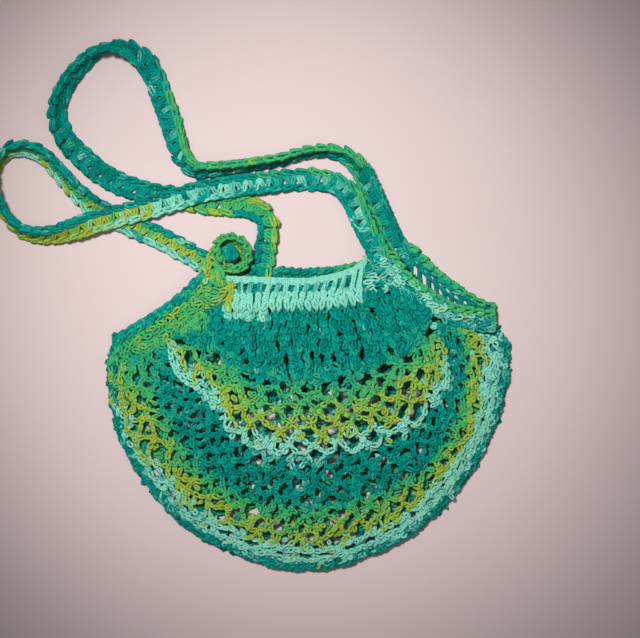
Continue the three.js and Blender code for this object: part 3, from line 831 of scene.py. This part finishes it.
class Band:
    """A crocheted band: a centre line with its width and up directions, by distance along it."""

    def __init__(self, centre, across, up, half, rows):
        self.centre, self.across, self.up = centre, unit(across), unit(up)
        self.half, self.rows = half, rows
        self.ahead = unit(np.gradient(centre, axis=0))
        steps = np.linalg.norm(np.diff(centre, axis=0), axis=1)
        self.far = np.concatenate([[0], np.cumsum(steps)])
        self.length = self.far[-1]

    def at(self, distance, table):
        """A table's values at distances along the band."""
        if table.ndim == 1:
            return np.interp(distance, self.far, table)
        return np.stack([np.interp(distance, self.far, table[:, axis]) for axis in range(3)], -1)

    def find(self, plan):
        """Distance along at which the band's upper edge passes nearest a plan point."""
        edge = self.centre + self.across * self.half[:, None]
        return self.far[np.argmin(np.linalg.norm(edge[:, :2] - plan, axis=1))]

    def under(self, inset):
        """The line across the band some millimetres inside its upper edge, by distance along."""
        return lambda distance: self.at(distance, self.half) - inset

    def over(self, inset):
        """The line across the band some millimetres inside its lower edge, by distance along."""
        return lambda distance: inset - self.at(distance, self.half)

    def points(self, distance, wide, high):
        """Points at a distance along, millimetres across from the centre and millimetres up."""
        distance, wide, high = np.broadcast_arrays(distance, wide, high)
        centre = self.at(distance, self.centre)
        across = unit(self.at(distance, self.across))
        up = unit(self.at(distance, self.up))
        return centre + across * wide[..., None] + up * high[..., None]


def rim_band(edges, height_at):
    """The band of a rim, across from its bottom edge to its top."""
    top, bottom = (
        np.column_stack([line, height_at(line) + FABRIC_THICK / 2])
        for line in (rounded(edge, count=320, spread=3) for edge in edges)
    )
    across = unit(top - bottom)
    centre = (top + bottom) / 2
    half = np.linalg.norm(top - bottom, axis=1) / 2
    up = np.cross(np.gradient(centre, axis=0), across)
    return Band(centre, across, up, half, np.linspace(0, 1, len(centre)))


def strap_band(route, ends, start_name, end_name, height_at):
    """The band of a strap along its route, rolled as the route says."""
    start, _, start_out = seat_frame(start_name)
    end, _, end_out = seat_frame(end_name)
    start_height, end_height = float(height_at(start[None])[0]), float(height_at(end[None])[0])
    drift = end - start - np.array([ends[0] * STRAP_REACH, ends[1] * STRAP_RISE])
    plan, stance = [], []
    for lead in (-SEAT_LAP, CLEARANCE, STRAP_LEAD):
        plan.append(start + start_out * lead)
        stance.append((0, start_height))
    for k, row in enumerate(route):
        x, y, roll, lift, seat = (tuple(row) + (0, 0))[:5]
        share = (k + 1) / (len(route) + 1)
        near = start_height if share < 0.5 else end_height
        plan.append(start + np.array([x * STRAP_REACH, y * STRAP_RISE]) + drift * share)
        stance.append((roll, lift * LAYER + seat * near))
    for lead in (STRAP_LEAD, CLEARANCE, -SEAT_LAP):
        plan.append(end + end_out * lead)
        stance.append((ends[2], end_height))
    rows = len(plan)
    shares = np.linspace(0, 1, 1200)
    centre = catmull_rom(plan, shares)
    poses = catmull_rom(stance, shares)
    ahead = unit(np.gradient(centre, axis=0))
    roll = np.radians(poses[:, 0])[:, None]
    side = np.column_stack([-ahead[:, 1], ahead[:, 0], np.zeros(len(ahead))])
    upright = np.array([[0, 0, 1.0]])
    stand = STRAP_WIDTH * abs(np.sin(roll[:, 0])) + STRAP_THICK * abs(np.cos(roll[:, 0]))
    centre = np.column_stack([centre, poses[:, 1] + stand / 2])
    across = side * np.cos(roll) + upright * np.sin(roll)
    up = upright * np.cos(roll) - side * np.sin(roll)
    return Band(centre, across, up, np.full(len(centre), STRAP_WIDTH / 2), shares * (rows - 1) - 1)


def stitch_places(yarn, pitch, span, drift=0.06):
    """Distances along a band at even stitches with a little drift."""
    low, high = span
    count = max(2, round((high - low) / pitch))
    where = low + (np.arange(count) + 0.5) * (high - low) / count
    return where + yarn.stray(drift * pitch, count)


def edging(yarn, band, wide, out, pitch, dye_at, radius, span, half=1.55):
    """A lumpy chain on both faces of a band's edge and on the edge itself, each loop's end outward."""
    for face in (1, -1):
        where = stitch_places(yarn, pitch, span)
        count = len(where)
        yarn.knit(band, where, wide(where) + yarn.stray(0.15, count), high=0.9 * face,
                  angle=out * 0.2 + yarn.stray(0.12, count), length=pitch * 1.25, half=half,
                  rise=1.2 * face, radius=radius * yarn.random.uniform(0.9, 1.1, count)[:, None],
                  dye=dye_at(where) + yarn.stray(0.06, count), knob=0.5)
    where = stitch_places(yarn, pitch * 1.1, span)
    count = len(where)
    ahead, up = unit(band.at(where, band.ahead)), unit(band.at(where, band.up))
    start = band.points(where - pitch * 0.6, wide(where) + out * 0.9, 0)
    yarn.links(start, ahead, up, np.cross(up, ahead) * out, length=pitch * 1.25, half=2.1, rise=1.3,
               radius=radius * 1.1, dye=dye_at(where) + yarn.stray(0.06, count), points=8, knob=0.5)


def posts(yarn, band, low, top, pitch, radius, dye_at, span, turns, slant=0.0, level=0.0):
    """Upright stitches across a band, each of three strands wound round each other."""
    where = stitch_places(yarn, pitch, span)
    steps = np.linspace(0, 1, 6)
    bottom, upper = low(where)[:, None], top(where)[:, None]
    wide = bottom + (upper - bottom) * steps
    count = len(where)
    phase = yarn.random.uniform(0, math.pi, (count, 1))
    dye = dye_at(where)[:, None] + yarn.stray(0.05, (count, 1))
    lean = slant + yarn.stray(0.12, (count, 1))
    for ply in range(3):
        swing = 2 * math.pi * (ply / 3 + turns * steps) + phase
        along = where[:, None] + lean * (steps - 0.5) * pitch + radius * 1.1 * np.cos(swing)
        along = np.clip(along, 0, band.length)
        paths = band.points(along, wide, level + radius * 0.7 * np.sin(swing))
        yarn.strands(paths, radius, dye + yarn.stray(0.025, (count, 1)))


def strand_along(yarn, band, wide, high, radius, dye_at, span, wave=0.25):
    """One long strand that runs along a band, with a slight wave."""
    where = np.linspace(span[0], span[1], max(4, int((span[1] - span[0]) / 2.2)))
    swing = where * 0.9 + yarn.random.uniform(0, 6)
    paths = band.points(where, wide(where) + wave * np.sin(swing), high + wave * np.cos(swing))
    flat = unit(band.at(where, band.up))
    yarn.strands(paths[None], radius, dye_at(where)[None], flat=flat[None])


def fill(yarn, band, span, pitch, dye_at, radius, row, angle, high, upper, lower, length=1.3):
    """Rows of short loops over a stretch of a band, from its upper edge down to its lower one."""
    random = yarn.random
    deepest = float(band.half.max()) * 2
    for line in range(int(deepest / row) + 1):
        where = stitch_places(yarn, pitch, span, 0.12) + (0.5 * pitch if line % 2 else 0)
        where = np.clip(where, 1, band.length - 1)
        half = band.at(where, band.half)
        wide = half - upper - (line + 0.5) * row + yarn.stray(0.12 * row, len(where))
        keep = wide > -half + lower
        where, wide, half = where[keep], wide[keep], half[keep]
        count = len(where)
        if not count:
            continue
        turn = (angle if line % 2 else -angle) + yarn.stray(0.3, count)
        dye = dye_at(where, (wide + half) / (2 * half)) + yarn.stray(0.07, count)
        yarn.knit(band, where, wide, high + yarn.stray(0.3, count), turn,
                  length=length * pitch * random.uniform(0.85, 1.15, count), half=row * 0.38,
                  rise=radius * 0.9, radius=radius * random.uniform(0.88, 1.12, count)[:, None], dye=dye)


def dye_keys(band, keys, column):
    """Dye along a band, from one column of its keyed rows: 1 low edge, 2 middle, 3 high edge."""
    table = np.array(keys, float)

    def dye_at(distance):
        rows = np.interp(distance, band.far, band.rows)
        return np.interp(rows, table[:, 0], table[:, column])

    return dye_at


def front_net():
    """Front layer of the net: gathers under the rim, the pouch and the skirt to the fold."""
    net = settings_of("bag_net")
    stitch = net.stitch / MM
    rim = rounded(FRONT_EDGES[1])
    pouch = rounded(POUCH_ROUND, count=300, spread=6)
    fold = fold_line()

    def rim_point(share):
        return along_line(rim, NET_START + NET_SPAN * share)

    def height(plan, extra):
        rise = front_height(plan) + FABRIC_THICK / 2 + extra
        return np.concatenate([plan, rise[..., None]], -1)

    # Gathers: close wavy stitches from under the rim to the middle of the pouch
    gathers = Yarn(11, GAPS)
    rows = net.gather_rows

    def gather_deep(row):
        return row / rows * GATHER_DEPTH + GATHER_START

    def gather_place(share, row):
        top, bottom = rim_point(share), along_line(pouch, share)
        deep = gather_deep(row)
        wave = np.cos(2 * math.pi * GATHER_WAVES * share)
        return height(top + (bottom - top) * deep[..., None], 1.6 + 1.1 * wave * smooth(0, 0.2, deep))

    def gather_dye(share, row):
        deep = gather_deep(row)
        tongue = smooth(0.17, 0.2, share) * (1 - smooth(0.34, 0.37, share)) * (1 - smooth(0.1, 0.15, deep))
        corner = (1 - smooth(0.1, 0.16, share)) * (1 - smooth(0.2, 0.3, deep))
        dye = net_dye(deep) + patches(share, row, 1) * smooth(0.15, 0.4, deep)
        return dye - 0.26 * tongue + 0.3 * corner + gathers.stray(0.02, share.shape)

    for lift in GATHER_LAYERS:
        ribs(gathers, gather_place, net.gather_columns, rows, gather_dye, stitch * 1.1, GATHER_SIZE, lift)
    stray_loops(gathers, gather_place, (0.02, 0.98), (0.5, rows), gather_dye, GATHER_LOOPS, stitch)
    gathers.piece("net_gathers", "net_yarn", "net_front")

    # Pouch: open arches down to the pale round
    arches = Yarn(12, GAPS)
    pitch = net.arch_height / MM

    def pouch_up(share, row):
        length = np.linalg.norm(rim_point(share) - along_line(pouch, share), axis=-1)
        return (POUCH_ROWS - row) * pitch / np.maximum(length, 1)

    def pouch_place(share, row):
        top, bottom = rim_point(share), along_line(pouch, share)
        up = np.minimum(pouch_up(share, row), 1)
        return height(bottom + (top - bottom) * up[..., None], 2.0 * smooth(0, 0.3, up) + 1.2)

    def pouch_dye(share, row):
        dye = net_dye(np.clip(1 - pouch_up(share, row), 0, 0.98)) + patches(share, row, 2)
        return dye + arches.stray(0.03, share.shape)

    def pouch_keep(share, row):
        return 1 - pouch_up(share, row) > POUCH_START

    lattice(arches, pouch_place, POUCH_ROWS, net.pouch_arches, pouch_dye, stitch, 1.0, pouch_keep)
    stray_loops(arches, pouch_place, (0.12, 0.9), (2, POUCH_ROWS), pouch_dye, POUCH_LOOPS, stitch)
    arches.piece("net_pouch", "net_yarn", "net_front")

    # Skirt: arches from the pale round to the fold
    skirt = Yarn(13, GAPS)
    rounds = net.skirt_rows

    def skirt_place(share, row):
        deep = row / rounds
        plan = part_way(along_line(pouch, share), along_line(fold, share), deep, FRONT_END)
        return height(plan, 0.4 * np.cos(2 * math.pi * SKIRT_WAVES * share + 3 * deep))

    def skirt_dye(share, row):
        deep = row / rounds
        left, right = 1 - smooth(0.05, 0.18, share), smooth(0.72, 0.86, share)
        shift = 0.14 * right - 0.12 * left * smooth(0.5, 0.8, deep)
        deep = deep + shift * np.sin(math.pi * np.clip(deep, 0, 1))
        inner = smooth(0.02, 0.12, share)
        dye = inner * net_dye(1.0 + deep) + (1 - inner) * (2.08 + 0.3 * deep)
        return dye + patches(share, row, 3) * 0.8 + skirt.stray(0.03, share.shape)

    lattice(skirt, skirt_place, rounds, net.skirt_arches, skirt_dye, stitch, 1.1, points=8)
    stray_loops(skirt, skirt_place, (0.01, 0.99), (0, rounds), skirt_dye, SKIRT_LOOPS, stitch)
    for inset, first, last, dye, high in FOLD_CHAINS:
        shares = np.linspace(first, last, int((FOLD_STITCHES - FOLD_FEWER * inset) * (last - first)))
        edge = along_line(fold, shares) * (1 - inset / FOLD_RADIUS)
        edge = edge + skirt.stray(0.5, edge.shape)
        bumps = 1.4 * smooth(0.5, 1, skirt.random.uniform(0, 1, len(edge))) * (inset < 4)
        bumps = bumps + 0.9 * np.sin(shares * 160 + inset) * (inset > 8)
        edge = edge + unit(edge) * bumps[:, None]
        run_chain(skirt, height(edge, high), dye, 0.03, stitch)
    line = rounded(PALE_CORD, count=60, spread=2)
    for offset in (-1.5, 1.5):
        cord = along_line(line, np.linspace(0, 1, 17)) + offset
        cord = cord + skirt.stray(0.6, cord.shape)
        run_chain(skirt, height(cord, 3.0), CORD_DYE, 0.04, stitch)
    skirt.piece("net_skirt", "net_yarn", "net_front")


def back_net():
    """Back layer of the net, one fan of arches from the back rim to the fold."""
    net = settings_of("bag_net")
    stitch = net.stitch / MM * 1.05
    rim = rounded(BACK_EDGES[1])
    fold = fold_line()
    yarn = Yarn(21, GAPS)
    rows = net.back_rows

    def place(share, row):
        plan = part_way(along_line(rim, share), along_line(fold, share), row / rows, BACK_END)
        return np.concatenate([plan, np.full(share.shape + (1,), FABRIC_THICK / 2)], -1)

    def dye(share, row):
        # The back layer's dye sits near the darkened teal stop: painted shade for the layer lying in the
        # front layer's shadow, with waves and patches of dye over it
        wave = 0.08 + 0.16 * np.sin(2 * math.pi * (1.5 * row / rows + 0.1)) + patches(share, row, 4)
        return wave + yarn.stray(0.04, share.shape)

    lattice(yarn, place, rows, net.back_arches, dye, stitch, 0.9, points=8, sides=4)
    yarn.piece("net_back_arches", "net_yarn", "net_back")
    yarn = Yarn(22, GAPS)
    stray_loops(yarn, place, (0.01, 0.99), (0.2, rows), dye, net.back_loops, stitch * 1.3, sides=4)
    yarn.piece("net_back_loops", "net_yarn", "net_back")


def rim(seed, edges, height_at, keys, seats, open_arm):
    """One rim: edge chains on its arms, upright stitches over the scoop and close rows below."""
    strand = settings_of("bag_yarn").strand / MM
    pitch = settings_of("bag_bands").rim_stitch / MM
    band = rim_band(edges, height_at)
    yarn = Yarn(seed)
    low_dye, mid_dye, top_dye = (dye_keys(band, keys, column) for column in (1, 2, 3))
    left, right = (band.find(seat_frame(seat)[0]) for seat in seats)
    reach = STRAP_WIDTH / 2
    arms = (
        (ARM_START, left - reach + SEAT_OVERLAP), (right + reach - SEAT_OVERLAP, band.length - ARM_START),
    )
    scoop = (left + reach - SEAT_OVERLAP, right - reach + SEAT_OVERLAP)

    def mixed(distance, share):
        low, middle, top = low_dye(distance), mid_dye(distance), top_dye(distance)
        below = low + (middle - low) * np.clip(share * 2.2, 0, 1)
        return below + (top - below) * smooth(0.8, 0.95, share) * 0.6

    for arm, span in enumerate(arms):
        for inset in ARM_EDGES[arm]:
            edging(yarn, band, band.under(inset), 1, pitch * 1.1, top_dye, strand * 1.2, span, half=2.3)
        corner = (3.0, band.length - 3.0)[arm]
        wide = np.linspace(-1, 1, 5)[:4] * band.under(1.0)(corner)
        for high in (0.8, -0.8):
            yarn.knit(band, np.full(4, corner), wide + 0.6, high, angle=math.pi / 2, length=6.5,
                      half=1.7, rise=0.4, radius=strand * 1.1, dye=np.full(4, float(top_dye(corner))))
        turn = ARM_TURNS[arm]
        if arm and open_arm:
            top, foot = OPEN_POSTS
            posts(yarn, band, band.over(foot), band.under(top), pitch * 1.12, strand, mid_dye, span,
                  turns=0.3)
            edging(yarn, band, band.under(OPEN_CHAIN), 1, pitch, mid_dye, strand, span, half=1.4)
            for inset in OPEN_STRANDS:
                strand_along(yarn, band, band.under(inset), 0.8, strand, mid_dye, span, wave=0.6)
        else:
            fill(yarn, band, span, pitch, mixed, strand, row=4.5, angle=turn, high=0.9, upper=5.0,
                 lower=-0.5, length=1.15)
            fill(yarn, band, span, pitch * 1.1, mixed, strand, row=4.0, angle=-turn, high=-0.8,
                 upper=5.5, lower=0.5)
    for seat in (left, right):
        span = (seat - reach, seat + reach)
        fill(yarn, band, span, pitch * 0.95, mixed, strand, row=4.2, angle=0.1, high=0.2, upper=1.0,
             lower=-0.5)
    if open_arm:
        edging(yarn, band, band.under(SCOOP_CHAIN), 1, pitch * 0.86, top_dye, strand * 1.15, scoop)
    else:
        for line, inset in enumerate(SCOOP_STRANDS):
            strand_along(yarn, band, band.under(inset), 1.2 - 0.25 * line, strand * 0.95, top_dye, scoop)
    top, foot = SCOOP_POSTS
    posts(yarn, band, band.over(foot), band.under(top), pitch, strand * 1.14, mid_dye, scoop,
          turns=0.22, slant=0.1, level=0.8)
    fill(yarn, band, scoop, pitch, lambda distance, share: mixed(distance, share) + 0.2, strand,
         row=3.8, angle=0.0, high=-1.3, upper=3.0, lower=0.0)
    for inset, high, length in SCOOP_ROWS:
        where = stitch_places(yarn, pitch * 0.8, scoop)
        count = len(where)
        yarn.knit(band, where, band.over(inset)(where), high,
                  angle=math.pi / 2 + yarn.stray(0.3, count), length=length, half=1.6, rise=0.4,
                  radius=strand * 1.2, dye=low_dye(where) + yarn.stray(0.03, count), points=9)
    return yarn


def rims():
    """Both rims; the front one has a loose yarn end."""
    seats = ("back_left", "back_right")
    yarn = rim(31, BACK_EDGES, back_height, BACK_RIM_DYES, seats, True)
    yarn.piece("rim_back_stitches", "rim_yarn", "rim_back")
    seats = ("front_left", "front_right")
    yarn = rim(32, FRONT_EDGES, front_height, FRONT_RIM_DYES, seats, False)
    steps = np.linspace(0, 1, 14)
    plan = np.array(END_START) + steps[:, None] * END_RUN
    plan[:, 1] -= END_SAG * np.sin(math.pi * steps)
    rise = front_height(plan) + FABRIC_THICK + 0.9 + 0.6 * np.sin(3 * math.pi * steps)
    yarn.strands(np.column_stack([plan, rise])[None], END_RADIUS, np.full((1, 14), END_DYE))
    yarn.piece("rim_front_stitches", "rim_yarn", "rim_front")


def curl_heart(yarn, radius):
    """Loops of the front strap's inner turn, seen down the middle of its curl."""
    random = yarn.random
    turn = random.uniform(0, 2 * math.pi, CURL_LOOPS)
    far = CURL_REACH * np.sqrt(random.uniform(0, 1, CURL_LOOPS))
    spot = np.array(CURL_CENTRE) + far[:, None] * np.column_stack([np.cos(turn), np.sin(turn)])
    level = front_height(spot) + FABRIC_THICK + random.uniform(0.4, 2.4, CURL_LOOPS)
    heading = random.uniform(0, 2 * math.pi, CURL_LOOPS)
    along = np.column_stack([np.cos(heading), np.sin(heading), np.zeros(CURL_LOOPS)])
    up = np.tile([0.0, 0.0, 1.0], (CURL_LOOPS, 1))
    start = np.column_stack([spot, level]) - along * 2.6
    yarn.links(start, along, np.cross(up, along), up, length=5.2, half=1.2, rise=0.4, radius=radius,
               dye=CURL_DYE + yarn.stray(0.03, CURL_LOOPS), points=8)


def strap(seed, layer, height_at, route, keys, curl_length=0.0):
    """One strap: a chain along each edge and groups of three upright stitches between."""
    strand = settings_of("bag_yarn").strand / MM
    pitch = settings_of("bag_bands").strap_stitch / MM
    band = strap_band(route, STRAP_ENDS[layer], layer + "_right", layer + "_left", height_at)
    yarn = Yarn(seed)
    low_dye, mid_dye, top_dye = (dye_keys(band, keys, column) for column in (1, 2, 3))
    start = band.length - curl_length
    stretches = ((0, start, 1.0), (start, band.length, CURL_SIZE))
    for first, last, size in stretches[:2 if curl_length else 1]:
        span, step = (first, last), pitch * size
        for line, out, dye_at in ((band.over, -1, low_dye), (band.under, 1, top_dye)):
            edging(yarn, band, line(STRAP_INSET), out, step, dye_at, strand * (0.6 + 0.52 * size), span,
                   0.6 + 1.3 * size)
        spots = stitch_places(yarn, step, span)
        count = len(spots)
        for shift, lean in STRAP_GROUP:
            where = np.clip(spots + shift * step, 0, band.length)
            for face in (1, -1):
                yarn.knit(band, where, yarn.stray(0.3, count), high=0.5 * face,
                          angle=math.pi / 2 * face + lean + yarn.stray(0.07, count),
                          length=STRAP_WIDTH - 2 * STRAP_INSET + 0.4, half=1.25 * size, rise=0.4,
                          radius=strand * yarn.random.uniform(0.92, 1.06, count)[:, None],
                          dye=mid_dye(where) + yarn.stray(0.07, count), points=10)
    if curl_length:
        curl_heart(yarn, strand)
    return yarn


def straps():
    """Both straps; the front one ends in a curl."""
    yarn = strap(41, "back", back_height, STRAP_BACK, BACK_STRAP_DYES)
    yarn.piece("strap_back_stitches", "strap_yarn", "strap_back")
    yarn = strap(42, "front", front_height, STRAP_FRONT, FRONT_STRAP_DYES, CURL_LENGTH)
    yarn.piece("strap_front_stitches", "strap_yarn", "strap_front")


class BagYarnSettings(bpy.types.PropertyGroup):
    """The yarn's colours and thickness."""

    teal: bpy.props.FloatVectorProperty(
        name="Teal", description="Darkest dye", subtype="COLOR", size=3, default=linear(0, 145, 131))
    green: bpy.props.FloatVectorProperty(
        name="Green", description="Leaf green dye", subtype="COLOR", size=3, default=linear(66, 168, 100))
    lime: bpy.props.FloatVectorProperty(
        name="Lime", description="Yellow green dye", subtype="COLOR", size=3, default=linear(142, 178, 66))
    mint: bpy.props.FloatVectorProperty(
        name="Mint", description="Palest dye", subtype="COLOR", size=3, default=linear(128, 203, 181))
    strand: bpy.props.FloatProperty(
        name="Strand radius", description="Radius of one strand", unit="LENGTH", default=0.00104)
    twist: bpy.props.FloatProperty(
        name="Twist", description="Length of one turn of the plies", unit="LENGTH", default=0.0045)
    plies: bpy.props.IntProperty(name="Plies", description="Plies in one strand", default=3)
    roughness: bpy.props.FloatProperty(
        name="Roughness", description="Roughness of the cotton", subtype="FACTOR", default=0.82)
    fuzz: bpy.props.FloatProperty(
        name="Fuzz", description="Sheen of the loose fibres", subtype="FACTOR", default=0.0)


class BagNetSettings(bpy.types.PropertyGroup):
    """Stitch counts of the net."""

    stitch: bpy.props.FloatProperty(
        name="Chain stitch", description="Length of one chain stitch", unit="LENGTH", default=0.0046)
    arch_height: bpy.props.FloatProperty(
        name="Arch height", description="Height of one row of open arches", unit="LENGTH", default=0.0085)
    gather_rows: bpy.props.IntProperty(name="Gather rows", description="Rows under the rim", default=6)
    gather_columns: bpy.props.IntProperty(
        name="Gathers", description="Columns of close stitches", default=38)
    pouch_arches: bpy.props.IntProperty(name="Pouch arches", description="Arches of the pouch", default=17)
    skirt_rows: bpy.props.IntProperty(name="Skirt rows", description="Rows to the fold", default=10)
    skirt_arches: bpy.props.IntProperty(name="Skirt arches", description="Arches of the skirt", default=26)
    back_rows: bpy.props.IntProperty(name="Back rows", description="Rows of the back layer", default=17)
    back_arches: bpy.props.IntProperty(name="Back arches", description="Arches of the back", default=30)
    back_loops: bpy.props.IntProperty(
        name="Back loops", description="Loose loops of the back", default=2100)


class BagBandSettings(bpy.types.PropertyGroup):
    """Stitch lengths of the rims and straps."""

    rim_stitch: bpy.props.FloatProperty(
        name="Rim stitch", description="Pitch of the rim's stitches", unit="LENGTH", default=0.007)
    strap_stitch: bpy.props.FloatProperty(
        name="Strap stitch", description="Pitch of the strap's stitches", unit="LENGTH", default=0.0092)


class BagStageSettings(bpy.types.PropertyGroup):
    """The floor, the light and the camera."""

    floor: bpy.props.FloatVectorProperty(
        name="Floor", description="Colour of the floor", subtype="COLOR", size=3,
        default=linear(212, 192, 190))
    camera_height: bpy.props.FloatProperty(
        name="Camera height", description="Camera over the floor", unit="LENGTH", default=1.3)
    light: bpy.props.FloatProperty(
        name="Main light", description="Strength of the main light", unit="POWER", default=86.0)
    spread: bpy.props.FloatProperty(
        name="Light spread", description="Cone of the main light in degrees", default=31.2)


class BAG_OT_back_net(bpy.types.Operator):
    """Make the back layer of the net"""

    bl_idname = "bag.back_net"
    bl_label = "Back net"

    def execute(self, context):
        back_net()
        return {"FINISHED"}


class BAG_OT_front_net(bpy.types.Operator):
    """Make the gathers, the pouch and the skirt of the front layer"""

    bl_idname = "bag.front_net"
    bl_label = "Front net"

    def execute(self, context):
        front_net()
        return {"FINISHED"}


class BAG_OT_rims(bpy.types.Operator):
    """Make the worked rims round the mouth"""

    bl_idname = "bag.rims"
    bl_label = "Rims"

    def execute(self, context):
        rims()
        return {"FINISHED"}


class BAG_OT_straps(bpy.types.Operator):
    """Make the two long straps"""

    bl_idname = "bag.straps"
    bl_label = "Straps"

    def execute(self, context):
        straps()
        return {"FINISHED"}


class BAG_OT_stage(bpy.types.Operator):
    """Make the floor, the light and the camera"""

    bl_idname = "bag.stage"
    bl_label = "Stage"

    def execute(self, context):
        settings = settings_of("bag_stage")
        scene = context.scene
        finish = Finish("floor_paper")
        place = finish.wire(finish.node("ShaderNodeTexCoord"), "Object")
        cloud = finish.noise(place, 3.0) * 0.1 + 0.95
        tone = finish.node("ShaderNodeVectorMath", {"operation": "SCALE"},
                           {"Vector": tuple(settings.floor), "Scale": cloud})
        finish.connect(finish.shader.inputs["Base Color"], finish.wire(tone))
        finish.shader.inputs["Roughness"].default_value = 0.9
        mesh = bpy.data.meshes.new("floor")
        corners = ((-1, -1), (1, -1), (1, 1), (-1, 1))
        mesh.from_pydata([(x * FLOOR_REACH, y * FLOOR_REACH, 0) for x, y in corners], [], [(0, 1, 2, 3)])
        mesh.materials.append(finish.material)
        floor = bpy.data.objects.new("floor", mesh)
        scene.collection.objects.link(floor)
        for name, kind, place, aim, size, share in LAMPS:
            lamp = bpy.data.lights.new(name, kind)
            if kind == "SPOT":
                lamp.spot_size = math.radians(settings.spread)
                lamp.spot_blend = 1.0
                lamp.shadow_soft_size = size
            else:
                lamp.shape = "DISK"
                lamp.size = size
            lamp.energy = settings.light * share
            light = bpy.data.objects.new(name, lamp)
            light.location = place
            way = np.array([aim[0] - place[0], aim[1] - place[1], -place[2]])
            light.rotation_euler = (
                math.acos(-way[2] / np.linalg.norm(way)), 0, math.atan2(way[1], way[0]) - math.pi / 2)
            scene.collection.objects.link(light)
        world = bpy.data.worlds.new("studio")
        world.use_nodes = True
        sky = world.node_tree.nodes["Background"]
        sky.inputs["Color"].default_value = (*linear(236, 232, 236), 1)
        sky.inputs["Strength"].default_value = SKY_STRENGTH
        scene.world = world
        scene.view_settings.view_transform = "Standard"
        lens = bpy.data.cameras.new("camera")
        lens.lens = LENS
        lens.sensor_width = SENSOR
        camera = bpy.data.objects.new("camera", lens)
        camera.location = (*CAMERA_PLAN, settings.camera_height)
        scene.collection.objects.link(camera)
        scene.camera = camera
        return {"FINISHED"}


class BAG_PT_panel(bpy.types.Panel):
    """Buttons and settings of the string bag"""

    bl_label = "String Bag"
    bl_idname = "BAG_PT_panel"
    bl_space_type = "VIEW_3D"
    bl_region_type = "UI"
    bl_category = "String Bag"

    def draw(self, context):
        for operator in OPERATORS:
            self.layout.operator(operator.bl_idname)
        for name in GROUPS:
            box = self.layout.box()
            group = settings_of(name)
            for setting in group.__annotations__:
                box.prop(group, setting)


OPERATORS = (BAG_OT_stage, BAG_OT_back_net, BAG_OT_front_net, BAG_OT_rims, BAG_OT_straps)
GROUPS = {
    "bag_yarn": BagYarnSettings,
    "bag_net": BagNetSettings,
    "bag_bands": BagBandSettings,
    "bag_stage": BagStageSettings,
}


def register():
    """Register the classes and hang the settings on the scene."""
    for group in GROUPS.values():
        bpy.utils.register_class(group)
    for item in OPERATORS + (BAG_PT_panel,):
        bpy.utils.register_class(item)
    for name, group in GROUPS.items():
        setattr(bpy.types.Scene, name, bpy.props.PointerProperty(type=group))


def unregister():
    """Take the settings and classes away again."""
    for name in GROUPS:
        delattr(bpy.types.Scene, name)
    for item in (BAG_PT_panel,) + OPERATORS[::-1]:
        bpy.utils.unregister_class(item)
    for group in GROUPS.values():
        bpy.utils.unregister_class(group)


def main():
    """Make every piece in order."""
    register()
    for operator in OPERATORS:
        group, action = operator.bl_idname.split(".")
        getattr(getattr(bpy.ops, group), action)()


if __name__ == "__main__":
    main()
